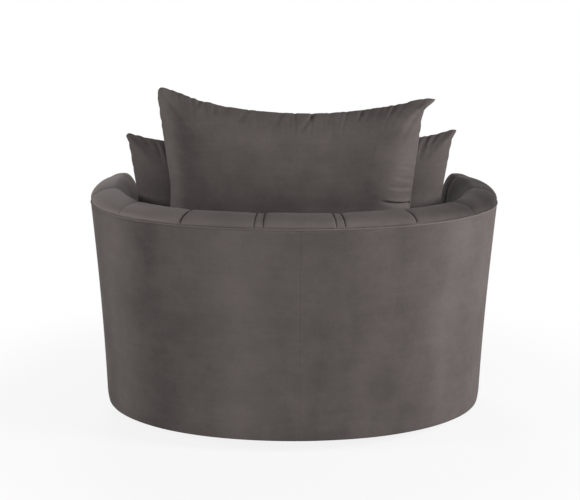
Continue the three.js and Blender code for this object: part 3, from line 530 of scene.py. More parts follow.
def timber_finish(colour):
    """Pale bent ply: long grain and thin darker bands."""
    timber = Finish("bent_ply")
    along = timber.place(scale=(4, 4, 60))
    grain = timber.noise(scale=1, detail=6, roughness=0.6, where=along)
    rings = timber.bands("Z", where=along, scale=1.6, distortion=5, detail=3)
    share = grain * 0.7 + rings * 0.3
    return timber.paint(colour, share, darker=0.72, lighter=1.25, Roughness=share * 0.2 + 0.5,
                       Normal=timber.bump(grain, distance=0.0003, strength=0.4))


def coated_steel_finish(colour):
    """Black powder coat with its fine orange peel."""
    coat = Finish("black_powder_coat")
    peel = coat.noise(scale=700, detail=3)
    scuffs = coat.noise(scale=30, detail=5, roughness=0.7)
    return coat.paint(colour, scuffs, darker=0.8, lighter=1.8, Roughness=scuffs * 0.2 + 0.38,
                     Normal=coat.bump(peel, distance=0.0002, strength=0.3))


def plated_finish(name, colour, darkness=1.0):
    """Zinc plate, faintly clouded and brushed."""
    plate = Finish(name)
    clouds = plate.noise(scale=60, detail=4, roughness=0.6)
    brushing = plate.noise(scale=1, detail=3, where=plate.place(scale=(900, 60, 60)))
    return plate.paint(shade(colour, darkness)[:3], clouds, darker=0.7, lighter=1.05, Metallic=1.0,
                      Roughness=clouds * 0.25 + 0.22,
                      Normal=plate.bump(brushing, distance=0.0001, strength=0.25))


def woven_finish(name, colour, pitch, lightness=1.6):
    """Plain weave: crossed threads, some paler than others."""
    woven = Finish(name)
    across, along = (woven.bands(axis, where=woven.place(), scale=2 / pitch / math.tau, distortion=0.4)
                     for axis in "ZX")
    threads = across * 0.5 + along * 0.5
    share = threads * 0.6 + woven.noise(scale=14, detail=4) * 0.4
    return woven.paint(colour, share, darker=0.6, lighter=lightness, Roughness=0.9,
                      Specular_IOR_Level=0.2, Normal=woven.bump(threads, pitch / 5, strength=0.5))


def plastic_finish(colour):
    plastic = Finish("glide_plastic")
    wear = plastic.noise(scale=120, detail=4, roughness=0.7)
    return plastic.paint(colour, wear, darker=1, lighter=2.4, Roughness=wear * 0.25 + 0.4,
                        Normal=plastic.bump(wear, distance=0.0002, strength=0.3))


# Stage
CAMERA_PLACE = Vector((0.128, 4.098, 1.43))
CAMERA_TURN = math.radians(1.61)
CAMERA_PITCH = math.radians(12.64)
CAMERA_ROLL = math.radians(0.25)
FLOOR_RADIUS = 30
BACKDROP_LIGHT = 0.86
SHADOW_REACH = 0.75
SHADOW_FADE = 0.8
FLOOR_COLOUR = (0.70, 0.70, 0.70, 1)
ROOM_LIGHT = (0.052, 0.052, 0.052, 1)
WHITE = (1, 1, 1, 1)
LAMP_TARGET = Vector((0, 0, 0.45))
# Place and size of each lamp
LAMPS = {"key": ((-4.0, 1.85, 2.0), 1.6), "fill": ((4.5, 1.64, 1.9), 1.2),
         "back": ((0.0, 4.51, 2.14), 2.0), "front": ((0.8, -3.6, 2.4), 2.4)}


class CHAIR_OT_studio(bpy.types.Operator):
    """Make the camera, the lamps, the world and the pale floor"""

    bl_idname = "chair.studio"
    bl_label = "Studio"

    def execute(self, context):
        context.scene.view_settings.view_transform = "Standard"
        self.add_camera(context.scene)
        self.add_lamps(context.scene.chair_studio)
        self.add_world(context.scene)
        self.add_floor()
        return {"FINISHED"}

    def add_camera(self, scene):
        camera = bpy.data.cameras.new("studio_camera")
        camera.sensor_width = 36
        camera.lens = scene.chair_studio.lens
        camera.clip_end = 100
        level = math.cos(CAMERA_PITCH)
        ahead = Vector((-math.sin(CAMERA_TURN) * level, -math.cos(CAMERA_TURN) * level,
                        -math.sin(CAMERA_PITCH)))
        turn = ahead.to_track_quat("-Z", "Y").to_matrix() @ Matrix.Rotation(CAMERA_ROLL, 3, "Z")
        scene.camera = add_object("studio_camera", camera)
        scene.camera.matrix_world = Matrix.Translation(CAMERA_PLACE) @ turn.to_4x4()

    def add_lamps(self, studio):
        for name, (place, size) in LAMPS.items():
            lamp = bpy.data.lights.new(f"{name}_lamp", "AREA")
            lamp.shape = "DISK"
            lamp.size = size
            lamp.energy = getattr(studio, f"{name}_power")
            turn = (LAMP_TARGET - Vector(place)).to_track_quat("-Z", "Y").to_matrix().to_4x4()
            holder = add_object(lamp.name, lamp)
            holder.matrix_world = Matrix.Translation(place) @ turn

    def add_world(self, scene):
        """White to the camera, and a faint grey light on the chair."""
        world = bpy.data.worlds.new("studio_world")
        world.use_nodes = True
        scene.world = world
        room = Nodes(world.node_tree)
        tint = room.blend_colours(room.seen(), ROOM_LIGHT, WHITE)
        room.plug(world.node_tree.nodes["Background"].inputs["Color"], tint)

    def add_floor(self):
        """Pale round the chair, where its shadow shows, and white farther out."""
        work = bmesh.new()
        bmesh.ops.create_circle(work, cap_ends=True, segments=96, radius=FLOOR_RADIUS)
        floor = add_object("studio_floor", mesh_of("studio_floor", work))
        paint = Finish("pale_floor")
        paint.tree.nodes.remove(paint.shader)
        matt = paint.node("ShaderNodeBsdfDiffuse", {}, {"Color": FLOOR_COLOUR})
        glow = paint.node("ShaderNodeEmission", {}, {"Strength": 1.0})
        place = paint.node("ShaderNodeTexCoord", output="Object")
        distance = paint.node("ShaderNodeVectorMath", {"operation": "LENGTH"}, {0: place}, "Value")
        white = paint.node("ShaderNodeMapRange", {"interpolation_type": "SMOOTHSTEP"}, {
            "Value": distance, "From Min": SHADOW_REACH, "From Max": SHADOW_REACH + SHADOW_FADE,
            "To Min": BACKDROP_LIGHT, "To Max": 1.0})
        both = paint.node("ShaderNodeMixShader", {}, {0: white * paint.seen(), 1: matt, 2: glow})
        paint.plug(paint.tree.nodes["Material Output"].inputs["Surface"], both)
        floor.data.materials.append(paint.material)


# Finishes of the nodes that stay as they are
class CHAIR_OT_frame_finishes(bpy.types.Operator):
    """Make the finishes, and give the frame, springs and swivel plates theirs"""

    bl_idname = "chair.frame_finishes"
    bl_label = "Frame finishes"

    def execute(self, context):
        colours = context.scene.chair_colours
        velvet = tuple(colours.velvet)
        velvet_finish("pillow_velvet", velvet, PILLOW_LEAN)
        # A lighter copy of the velvet: a painted highlight for the rim's folded edge
        velvet_finish("edge_velvet", shade(velvet, EDGE_HIGHLIGHT)[:3])
        finishes = {
            "timber": timber_finish(colours.timber),
            "black_steel": coated_steel_finish(colours.black_steel),
            "zinc_steel": plated_finish("zinc_plate", colours.zinc),
            "spring_steel": plated_finish("spring_steel", colours.zinc, 0.55),
            "glide_plastic": plastic_finish(colours.black_steel),
            "webbing": woven_finish("jute_webbing", colours.webbing, 0.004),
            "deck_felt": woven_finish("deck_cloth", colours.lining, 0.0016, 2.4),
            "dust_cloth": woven_finish("dust_cloth", colours.lining, 0.0012, 2.0),
            "velvet": velvet_finish("tub_velvet", velvet),
        }
        for subpart in frame["record"]["subparts"]:
            mesh = frame["nodes"][subpart["node"]].data
            mesh.materials.clear()
            mesh.materials.append(finishes[subpart["material_slot"]])
        return {"FINISHED"}


# Swivel base
RING_RADIUS = 0.300
RING_TUBE_RADIUS = 0.0125
GLIDE_COUNT = 6
GLIDE_ROUNDING_SHARE = 0.25


class CHAIR_OT_swivel_base(bpy.types.Operator):
    """Make the smooth tube ring and its glides"""

    bl_idname = "chair.swivel_base"
    bl_label = "Swivel base"

    def execute(self, context):
        low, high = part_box("base_ring")
        work = bmesh.new()
        tube = bmesh.ops.create_circle(work, segments=20, radius=RING_TUBE_RADIUS)["verts"]
        upright = Matrix.Rotation(math.pi / 2, 4, "X")
        place = Matrix.Translation((RING_RADIUS, 0, (low.z + high.z) / 2))
        bmesh.ops.transform(work, matrix=place @ upright, verts=tube)
        spin_round(work, steps=96)
        finish_piece("ring_tube", work, "black_powder_coat", "base", ["base_ring"])
        for index in range(GLIDE_COUNT):
            self.add_glide(index + 1)
        return {"FINISHED"}

    def add_glide(self, index):
        """A low turned foot with a rounded edge."""
        node = f"glide_{index}"
        low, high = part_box(node)
        radius = (high.x - low.x) / 2
        height = high.z - low.z
        work = bmesh.new()
        bmesh.ops.create_cone(work, cap_ends=True, segments=40, radius1=radius, radius2=radius, depth=height)
        rims = [edge for edge in work.edges if abs(edge.verts[0].co.z - edge.verts[1].co.z) < FINE_WELD]
        bmesh.ops.bevel(work, geom=rims, affect="EDGES", offset=height * GLIDE_ROUNDING_SHARE, segments=3,
                        profile=0.5, material=-1)
        bmesh.ops.translate(work, verts=work.verts, vec=(low + high) / 2)
        finish_piece(f"glide_foot_{index}", work, "glide_plastic", "base", [node])


# Outer covers
SEAM_TURN = 0.0003
SEAM_TURN_WIDTH = 0.0016
SEAM_GAP = 0.00006
COVER_STEP = 0.008
COVER_ROWS = 76
HEM_ROWS = 6
CORNER_ROWS = 7
CORNER_RADIUS = 0.003
COVER_SLACK = 0.0007
SLACK_SIZE = 0.16
SLACK_STRETCH = np.array([1, 1, 0.55])
COVER_SHEET_SHARE = 0.8


def cover_places(arcs, top):
    """Places of a cover: the hem under the frame, round the foot and up the outer face."""
    hem = HEM_WIDTH * (1 - np.arange(HEM_ROWS) / HEM_ROWS)
    turns = np.linspace(0, math.pi / 2, CORNER_ROWS)
    shares = np.linspace(0, 1, COVER_ROWS)[1:]
    depth = np.concatenate([hem, CORNER_RADIUS * (1 - np.sin(turns)), 0 * shares])
    foot = FOOT + np.concatenate([0 * hem, CORNER_RADIUS * (1 - np.cos(turns))])
    height = np.concatenate([foot[:, None] + 0 * arcs, mix(FOOT + CORNER_RADIUS, top, shares[:, None])])
    turned = sum(SEAM_TURN * np.exp(-((arcs - end) / SEAM_TURN_WIDTH) ** 2) for end in arcs[[0, -1]])
    return wall_points(arcs, depth[:, None] + turned, height)


def crowded(start, end, step, marks, finest=0.0012, reach=0.016):
    """Stations from start to end, a step apart and closer together at the marks."""
    stations = [start]
    while stations[-1] < end:
        nearest = min([abs(stations[-1] - mark) for mark in marks] or [reach])
        stations.append(stations[-1] + mix(finest, step, min(1.0, nearest / reach)))
    return np.array(stations[:-1] + [end])


# Painted light and shade on the covers, in bands where the lamps and the pile's sheen make them lighter or
# darker: arc, width and amount
COVER_SHADING_BANDS = ((0.63, 0.06, 0.13), (0.47, 0.065, -0.14), (0.20, 0.10, 0.19), (-0.10, 0.08, -0.08),
               (-0.36, 0.09, -0.10), (-0.50, 0.05, 0.06))
BAND_SWAY = 0.03


class CHAIR_OT_outer_covers(bpy.types.Operator):
    """Make the two back panels and the front band"""

    bl_idname = "chair.outer_covers"
    bl_label = "Outer covers"

    def execute(self, context):
        for side, name in ((1, "outer_cover_left"), (-1, "outer_cover_right")):
            ends = [SEAM_GAP, ARM_ARC - SEAM_GAP]
            arcs = side * crowded(*ends, COVER_STEP, ends)
            self.add_cover(name, arcs, seam_height(arcs) - WELT_RADIUS)
        ends = [ARM_ARC + SEAM_GAP, 2 * HALF_ROUND - ARM_ARC - SEAM_GAP]
        arcs = crowded(*ends, COVER_STEP, ends)
        self.add_cover("front_band_cover", arcs, BAND_TOP)
        return {"FINISHED"}

    def add_cover(self, node, arcs, top):
        places = cover_places(arcs, top + 0 * arcs)
        slack = COVER_SLACK * wobble(places * SLACK_STRETCH, SLACK_SIZE, seed=3)
        outwards = np.sign(arcs[-1] - arcs[0])
        work = cloth_grid(places + outwards * surface_normals(places) * slack[..., None])
        turn_outwards(work)
        piece = velvet_piece(f"{node}_velvet", work, [node])
        where = vertex_places(piece)
        sway = BAND_SWAY * wobble(where, SLACK_SIZE, seed=4)
        # Painted light and shade along the covers' arcs
        paint_shading(piece, banded(arcs_near(where) + sway, COVER_SHADING_BANDS))
        thicken(piece, COVER_THICKNESS * COVER_SHEET_SHARE)


# Inner back
FACE_ROWS = 66
ROLL_ROWS = 64
PAD_STEP = 0.0074
PAD_FINEST_STEP = 0.0013
PAD_FINE_REACH = 0.018
ROLL_BULGE = 0.004
ROLL_TUCK = 0.0015
ROLL_TUCK_SPAN = (0.93, 0.07)
ROLL_EDGE_RISE = WELT_RADIUS * 1.15
# Spans up the pad, where its face goes over into the roll and where its pleats start
ROLL_SPAN = (UPPER_BUTTONS, 0.08)
PLEAT_SPAN = (UPPER_BUTTONS - 0.01, 0.02)
BOX_PLEAT_SPREAD = 0.013
PLEAT_WIDTH = 0.0015
PLEAT_STEP = 0.0034
PLEAT_STEP_REACH = 0.016
LEFT_BOX_PLEATS = (0, 3, 4)
RIGHT_BOX_PLEATS = (0,)
CREASE_WIDTH = 0.0035
# Hollows round the buttons, in shares of the tuft's depth, and how far they reach
FACE_HOLLOW_SHARE = 0.62
ROLL_HOLLOW_SHARE = 0.11
SEAM_HOLLOW_SHARE = 0.45
HOLLOW_REACH = 0.024
DIMPLE_SHARE = 0.5
DIMPLE_WIDTH = 0.020
SEAM_CALM = 0.02
SEAM_HOLD = 0.006
HAND_SIZE = 0.09
HAND_DEPTH = 0.0011
# Share of the painted light and shade that the face below the roll gets
FACE_LIGHT_SHARE = 0.45
RIM_EDGE_STEP = 0.006
RIM_EDGE_INSET = 0.0004
RIM_EDGE_DEPTH_SHARE = 0.7
RIM_EDGE_HEIGHT_SHARE = 1.2
RIM_WAVER = 0.0004
RIM_WAVER_SIZE = 0.05
FACING_SIDE_ROWS = 6
FACING_FOOT = BAND_TOP - 0.001
BAND_PADDING_ARCS = 24
BAND_PADDING_START = -0.002
BAND_PADDING_DROP = 0.0006
BAND_PADDING_LEAST = 0.0003
# How much of the cushion's lead and of the cover's thickness the padding takes
BAND_PADDING_SHARE = 0.9
# How far past the arm's end each ring of its facing lies, and its size as a share of the end
FACING_RINGS = ((-0.004, 1.0), (0.0005, 1.02), (0.0022, 0.98), (0.0028, 0.85), (0.0030, 0.03))
BUTTON_SINK = 1.06
BUTTON_PROFILE = ((0.0, -0.004), (0.7, -0.004), (0.94, -0.0022), (1.0, 0.0), (0.97, 0.0022),
                  (0.86, 0.0046), (0.66, 0.0066), (0.38, 0.0080), (0.0, 0.0086))
# Painted light and shade on the inner back: the roll and the left arm lighter, the right arm darker, as the
# lamps fall. Share of the half width, width and amount
ROLL_SHADING_BANDS = ((0.0, 1.4, 0.12), (0.84, 0.38, 0.44), (-0.25, 0.14, 0.06), (-0.97, 0.38, -0.48))


def pleat_arcs():
    """Arcs of the pleats that cross the roll, each with its depth as a share. A box pleat has two."""
    pleats = []
    for side, box_pleats in ((1, LEFT_BOX_PLEATS), (-1, RIGHT_BOX_PLEATS)):
        for tuft in range(BUTTONED_TUFTS):
            middle = (tuft + 0.5) * TUFT_PITCH
            spread = [-BOX_PLEAT_SPREAD, BOX_PLEAT_SPREAD] if tuft in box_pleats else [0]
            pleats += [(side * (middle + offset), 1 / len(spread)) for offset in spread]
    return sorted(pleats)


def pad_section(arcs):
    """Depths and heights of the inner back before it is buttoned, row by row."""
    seam, wall = seam_height(arcs), wall_thickness(arcs)
    crest = seam + crest_rise(arcs)
    edge = seam + ROLL_EDGE_RISE
    crest_depth = wall * mix(CREST_DEPTH_SHARE, ARM_CREST_DEPTH_SHARE, along_arm(arcs, *CREST_SHIFT_SPAN))
    shoulder = mix(SEAT, seam, (UPPER_BUTTONS - SEAT) / (SEAM_HEIGHT - SEAT))
    up_face = np.linspace(0, 1, FACE_ROWS)[:, None]
    turns = np.linspace(0, math.pi, ROLL_ROWS + 1)[1:, None]
    inner = turns <= math.pi / 2
    reach = np.where(inner, wall - crest_depth, crest_depth)
    base = np.where(inner, shoulder, edge)
    bulge = np.where(inner, 0, ROLL_BULGE * np.sin(2 * turns - math.pi))
    tuck = ROLL_TUCK * eased(turns / math.pi, *ROLL_TUCK_SPAN)
    roll = crest_depth + reach * np.cos(turns) + arm_overhang(arcs) * np.sin(turns) - bulge + tuck
    depth = np.concatenate([wall + 0 * up_face, roll])
    height = np.concatenate([mix(SEAT, shoulder, up_face), base + (crest - base) * np.sin(turns)])
    return depth, height


def crease_distance(arcs, along, stretch):
    """Distance of each place from the nearest line between buttons.
    along is the length up the pad, and stretch how much an arc is drawn together there."""
    pitch = TUFT_PITCH * stretch
    tufts = np.abs(arcs / TUFT_PITCH - np.round(arcs / TUFT_PITCH))[None, :]
    side = tufts * pitch
    far_side = (0.5 - tufts) * pitch
    lower, upper = LOWER_BUTTONS, UPPER_BUTTONS
    straight = np.hypot(side, np.maximum(0, along - lower))
    pleat = np.hypot(far_side, np.maximum(0, upper - along))
    run, rise = 0.5 * pitch, upper - lower
    share = np.clip((side * run + (along - lower) * rise) / (run ** 2 + rise ** 2), 0, 1)
    slant = np.hypot(side - share * run, along - lower - share * rise)
    button = np.minimum(np.hypot(side, along - lower), np.hypot(far_side, along - upper))
    return np.minimum(np.minimum(straight, slant), pleat), button


class CHAIR_OT_inner_back(bpy.types.Operator):
    """Make the tufted inner back with its roll, buttons and rim edge"""

    bl_idname = "chair.inner_back"
    bl_label = "Inner back"

    def execute(self, context):
        sizes = context.scene.chair_sizes
        self.add_pad(sizes)
        self.add_buttons(sizes)
        self.add_rim_edge(sizes)
        for side, end in ((1, "left"), (-1, "right")):
            self.add_arm_facing(side, f"arm_facing_{end}")
            self.add_band_padding(side, f"band_padding_{end}")
        return {"FINISHED"}

    def add_pad(self, sizes):
        tufts = [side * step * TUFT_PITCH for step in range(BUTTONED_TUFTS) for side in (-1, 1)]
        arcs = crowded(-ARM_ARC, ARM_ARC, PAD_STEP, tufts + [arc for arc, share in pleat_arcs()],
                       PAD_FINEST_STEP, PAD_FINE_REACH)
        depth, height = pad_section(arcs)
        base = wall_points(arcs, depth, height)
        steps = np.linalg.norm(np.diff(base, axis=0), axis=-1)
        climbed = np.concatenate([np.zeros((1, len(arcs))), np.cumsum(steps, axis=0)])
        shoulder = climbed[FACE_ROWS - 1]
        along = np.where(climbed <= shoulder, height, UPPER_BUTTONS + climbed - shoulder)
        from_seam = along.max(axis=0) - along
        stretch = np.linalg.norm(np.gradient(base, axis=1), axis=-1) / np.gradient(arcs)
        drawn = self.tufting(sizes, arcs, along, from_seam, stretch) + self.pleats(sizes, arcs, along)
        normals = surface_normals(base)
        if np.sum(normals[0, :, :2] * plan_at(arcs)[1]) > 0:
            normals = -normals
        hand = HAND_DEPTH * wobble(base, HAND_SIZE, seed=5)
        places = base + normals * ((hand - drawn) * eased(from_seam, 0, SEAM_HOLD))[..., None]
        work = closed_grid(self.carried_back(places, arcs))
        piece = velvet_piece("inner_back_velvet", work, ["inner_back"])
        across, deep, up = vertex_places(piece).T
        # Painted light and shade: lighter on the left arm and the roll, darker on the right arm, less on the
        # face
        light = banded(across / (WIDTH / 2), ROLL_SHADING_BANDS)
        paint_shading(piece, light * mix(FACE_LIGHT_SHARE, 1, eased(up, *ROLL_SPAN)))

    def tufting(self, sizes, arcs, along, from_seam, stretch):
        """How far the buttons and the lines between them draw the pad in."""
        line, button = crease_distance(arcs, along, stretch)
        hollow = np.exp(-line / HOLLOW_REACH) * mix(SEAM_HOLLOW_SHARE, 1, eased(from_seam, 0, SEAM_CALM))
        dimple = np.exp(-(button / DIMPLE_WIDTH) ** 2)
        pull = mix(FACE_HOLLOW_SHARE, ROLL_HOLLOW_SHARE, eased(along, *ROLL_SPAN)) * hollow
        crease = np.where(along > UPPER_BUTTONS, 0, np.exp(-(line / CREASE_WIDTH) ** 2))
        fade = 1 - smooth(np.abs(arcs) / TUFT_PITCH - BUTTONED_TUFTS + 0.5)
        return (sizes.tuft_depth * (pull + DIMPLE_SHARE * dimple) + sizes.pleat_depth * crease) * fade

    def pleats(self, sizes, arcs, along):
        """Folded lines over the roll: a thin cut with the cloth stepped to one side."""
        total = 0
        for arc, share in pleat_arcs():
            away = (arcs - arc) * np.sign(arc)
            cut = np.exp(-(away / PLEAT_WIDTH) ** 2)
            step = np.where(away > 0, np.exp(-away / PLEAT_STEP_REACH), 0)
            total += share * (sizes.pleat_depth * cut + PLEAT_STEP * step)
        return total * eased(along, *PLEAT_SPAN)

    def carried_back(self, places, arcs):
        """The pad's section, carried back to its start behind the frame side."""
        inside = FRAME_SIDE_SHARE * wall_thickness(arcs)
        edge = seam_height(arcs) + ROLL_EDGE_RISE
        back = [wall_points(arcs, inside, mix(edge, SEAT, share)) for share in (0, 0.5, 1)]
        return np.concatenate([places, back, places[:1]])

    def add_buttons(self, sizes):
        """Covered buttons, each drawn into its dimple."""
        dome = self.turned_dome(sizes.button_diameter / 2)
        work = bmesh.new()
        for half in range(1 - 2 * BUTTONED_TUFTS, 2 * BUTTONED_TUFTS):
            arc = half * TUFT_PITCH / 2
            depth = wall_thickness(arc) - sizes.tuft_depth * BUTTON_SINK
            place = wall_points(arc, depth, UPPER_BUTTONS if half % 2 else LOWER_BUTTONS)
            inwards = Vector((*-plan_at(arc)[1], 0))
            facing = inwards.to_track_quat("Z", "Y").to_matrix().to_4x4()
            before = len(work.verts)
            work.from_mesh(dome)
            bmesh.ops.transform(work, matrix=Matrix.Translation(place) @ facing, verts=work.verts[:][before:])
        piece = velvet_piece("tuft_buttons", work)

    def turned_dome(self, radius):
        """A button's dome with its tucked rim, on the axis."""
        work = bmesh.new()
        chain = [work.verts.new((radius * share, 0, height)) for share, height in BUTTON_PROFILE]
        for pair in zip(chain, chain[1:]):
            work.edges.new(pair)
        spin_round(work, steps=24)
        return mesh_of("button_dome", work)

    def add_rim_edge(self, sizes):
        radius = sizes.welt_diameter / 2
        arcs = crowded(-ARM_ARC, ARM_ARC, RIM_EDGE_STEP, [])
        turns = PIPE_TURNS[:, None]
        seam = seam_height(arcs)
        waver = RIM_WAVER * wobble(wall_points(arcs, 0, seam), RIM_WAVER_SIZE, seed=8)
        depth = RIM_EDGE_INSET + RIM_EDGE_DEPTH_SHARE * radius * np.cos(turns) + waver
        height = seam + RIM_EDGE_HEIGHT_SHARE * radius * np.sin(turns) + waver
        work = closed_grid(wall_points(arcs, depth, height))
        # The rim edge is painted lighter: a painted highlight along the fold
        velvet_piece("rim_edge_velvet", work, ["rim_welt"], material="edge_velvet")

    def add_arm_facing(self, side, name):
        """The cloth over the end of an arm, where it comes down to the front band."""
        depth, height = (line[:, 0] for line in pad_section(np.array([side * ARM_ARC])))
        down = np.linspace(0, 1, FACING_SIDE_ROWS)[1:]
        depth = np.concatenate([depth, 0 * down])
        height = np.maximum(np.concatenate([height, mix(height[-1], FACING_FOOT, down)]), FACING_FOOT)
        rings = []
        for ahead, share in FACING_RINGS:
            ring = wall_points(side * (ARM_ARC + ahead), mix(depth.mean(), depth, share),
                               mix(height.mean(), height, share))
            rings.append(np.concatenate([ring, ring[:1]]))
        velvet_piece(name, closed_grid(np.stack(rings)))

    def add_band_padding(self, side, name):
        """Fills the wedge between an arm's end, the front band and the deck."""
        arcs = ARM_ARC + np.linspace(BAND_PADDING_START, BAND_PADDING_SHARE * CUSHION_LEAD, BAND_PADDING_ARCS)
        outer = BAND_PADDING_SHARE * COVER_THICKNESS
        inner = np.maximum(interior_depth(arcs, 0, COVER_THICKNESS), outer + BAND_PADDING_LEAST)
        top = BAND_TOP - BAND_PADDING_DROP
        section = [(0, DECK_BOTTOM), (0, top), (0.33, top), (0.67, top), (1, top), (1, DECK_BOTTOM),
                   (0, DECK_BOTTOM)]
        rows = [wall_points(side * arcs, mix(outer, inner, share), height) for share, height in section]
        velvet_piece(name, closed_grid(np.stack(rows)))


# Seat
CUSHION_STEP = 0.010
UNDERSIDE_INSET = CUSHION_CROWN * 0.4
FOOT_RISE = 0.008
SIDE_SWELL = 0.0062
SIDE_SWELL_POWER = 2.4
TOP_INSET = 0.003
TOP_RISE = 0.002
CROWN_FLAT_SHARE = 0.05
CROWN_POWER = 5
CROWN_SHARE = 0.98
# First share, last share and number of the rows of each part of the cushion's and the deck's section
UNDERSIDE_ROWS = (0.02, 0.985, 34)
FOOT_ROWS = (0.1, 1, 7)
SIDE_ROWS = (0.03, 0.97, 26)
EDGE_ROWS = (0, 1, 7)
TOP_ROWS = (0.985, 0.02, 48)
DECK_UNDERSIDE_ROWS = (0.02, 1, 12)
DECK_TOP_ROWS = (1, 0.02, 30)
# A row half way up the cushion's side
SIDE_ROW = 54
# Size, depth and seed of each field that makes the cushion uneven, and the height where they start
CUSHION_SLACK = ((0.11, 0.0016, 11), (0.05, 0.0006, 12))
SLACK_START = 0.004
PIPING_INSET = 0.0005
LOWER_PIPING_RISE = 0.009
DECK_STEP = 0.014
DECK_FRONT_ROOM = 0.0006
DECK_DROP = 0.004
DECK_DROP_POWER = 8
DECK_FLAT = 0.0001
DECK_PUFF = 0.0012
DECK_PUFF_SIZE = 0.10


def seat_places(step, clearance, front_depth, rows):
    """Rings of the seat's outline: each row has its change of depth, its height and its plan's share."""
    arcs = np.linspace(0, 2 * HALF_ROUND, round(2 * HALF_ROUND / step) + 1)
    depth = interior_depth(arcs, clearance, front_depth)
    places = np.stack([wall_points(arcs, depth + change, height) for change, height, share in rows])
    places[..., :2] *= np.array([share for change, height, share in rows])[:, None, None]
    return places


def round_grid(places):
    """A closed grid whose last column is its first."""
    places[:, -1] = places[:, 0]
    return closed_grid(places)


class CHAIR_OT_seat(bpy.types.Operator):
    """Make the boxed seat cushion, its piping, the deck and the dust cover"""

    bl_idname = "chair.seat"
    bl_label = "Seat"

    def execute(self, context):
        self.add_cushion()
        radius = context.scene.chair_sizes.piping_diameter / 2
        self.add_piping(radius, CUSHION_TOP - CUSHION_CROWN + TOP_RISE, "upper_piping")
        self.add_piping(radius, CUSHION_BOTTOM + LOWER_PIPING_RISE, "lower_piping")
        self.add_deck()
        self.add_dust_cover()
        return {"FINISHED"}

    def add_cushion(self):
        foot, edge = CUSHION_BOTTOM + FOOT_RISE, CUSHION_TOP - CUSHION_CROWN
        rows = [(UNDERSIDE_INSET, CUSHION_BOTTOM, share) for share in np.linspace(*UNDERSIDE_ROWS)]
        for turn in np.linspace(*FOOT_ROWS):
            rows.append((UNDERSIDE_INSET * (1 - turn), CUSHION_BOTTOM + FOOT_RISE * turn ** 2, 1))
        for share in np.linspace(*SIDE_ROWS):
            swell = SIDE_SWELL * (1 - abs(2 * share - 1) ** SIDE_SWELL_POWER)
            rows.append((-swell, mix(foot, edge, share), 1))
        rows += [(TOP_INSET * turn, edge + TOP_RISE * turn, 1) for turn in np.linspace(*EDGE_ROWS)]
        for share in np.linspace(*TOP_ROWS):
            crown = CUSHION_CROWN * (1 - max(0, share - CROWN_FLAT_SHARE) ** CROWN_POWER)
            rows.append((TOP_INSET, edge + TOP_RISE + (crown - TOP_RISE) * CROWN_SHARE, share))
        places = seat_places(CUSHION_STEP, CUSHION_CLEARANCE, -CUSHION_OVERHANG, rows)
        normals = surface_normals(places)
        if np.sum(normals[SIDE_ROW] * places[SIDE_ROW]) < 0:
            normals = -normals
        slack = sum(depth * wobble(places, size, seed) for size, depth, seed in CUSHION_SLACK)
        upper = np.array([height > CUSHION_BOTTOM + SLACK_START for change, height, share in rows])
        work = round_grid(places + normals * (slack * upper[:, None])[..., None])
        piece = velvet_piece("seat_cushion_velvet", work, ["seat_cushion"], body="seat_cushion")

    def add_piping(self, radius, height, name):
        rows = [(PIPING_INSET - radius * math.cos(turn), height + radius * math.sin(turn), 1)
                for turn in PIPE_TURNS]
        places = seat_places(CUSHION_STEP, CUSHION_CLEARANCE, -CUSHION_OVERHANG, rows)
        places[-1] = places[0]
        velvet_piece(name, round_grid(places), body="seat_cushion")

    def add_deck(self):
        rows = [(0, DECK_BOTTOM, share) for share in np.linspace(*DECK_UNDERSIDE_ROWS)]
        rows += [(0, mix(DECK_BOTTOM, DECK_TOP, share), 1) for share in (0.25, 0.5, 0.75)]
        rows += [(0, DECK_TOP - DECK_DROP * share ** DECK_DROP_POWER, share)
                 for share in np.linspace(*DECK_TOP_ROWS)]
        places = seat_places(DECK_STEP, COVER_THICKNESS, COVER_THICKNESS + DECK_FRONT_ROOM, rows)
        puffs = DECK_PUFF * (wobble(places, DECK_PUFF_SIZE, seed=21) - 1)
        high = np.array([height > DECK_TOP - DECK_FLAT for change, height, share in rows])[:, None]
        places[..., 2] += puffs * high
        piece = finish_piece("deck_pad_cloth", round_grid(places), "deck_cloth", "tub",
                             ["deck_pad"])

    def add_dust_cover(self):
        """The cut cloth under the frame, with its holes."""
        work = bmesh.new()
        work.from_mesh(frame["nodes"]["dust_cover"].data)
        bmesh.ops.remove_doubles(work, verts=work.verts, dist=WELD)
        piece = finish_piece("dust_cover_cloth", work, "dust_cloth", "tub", ["dust_cover"])


# Loose pillows
PANEL_EASE = 1.10
FULLNESS = 0.34
FILLING_STEPS = 9
LARGE_SIZE = (0.776, 0.594, 0.190)
SMALL_SIZE = (0.454, 0.470, 0.140)
LARGE_PANEL = (104, 80)
SMALL_PANEL = (66, 68)
SOFTENING_PASSES = 30
CALMING_PASSES = 3
GATHER_GAIN = 1.4
SEAM_WAVES = 0.25
EAR_ROUNDING = 0.045
GATHER_REACH = 0.09
SIDE_TURN = 0.075
TOP_TURN = 0.050
NODE_CLEARANCE = 0.001
EAR_FULLNESS = 0.018
PUCKER_PITCH = 0.012
PUCKER_DEPTH = 0.0046
PUCKER_REACH = 0.024
PUCKER_DIP = 0.0022
PUCKER_SPREAD = 0.12
PUCKER_STRETCH = 0.15
PUCKER_SHARPNESS = 2.2
PUCKER_START = 0.004
PUCKER_END_SHARE = 0.3
PUCKER_STRENGTH = 0.8
PUCKER_UNEVENNESS = 1.2
PANEL_SHIFT = 0.3
RIDGE_SHARE = 0.5
RIDGE_PLACE = 1.7
CREASE_EDGE_ROWS = 2
NIP_SHARE = 0.55
NIP_SPAN = (0.9, 0.1)
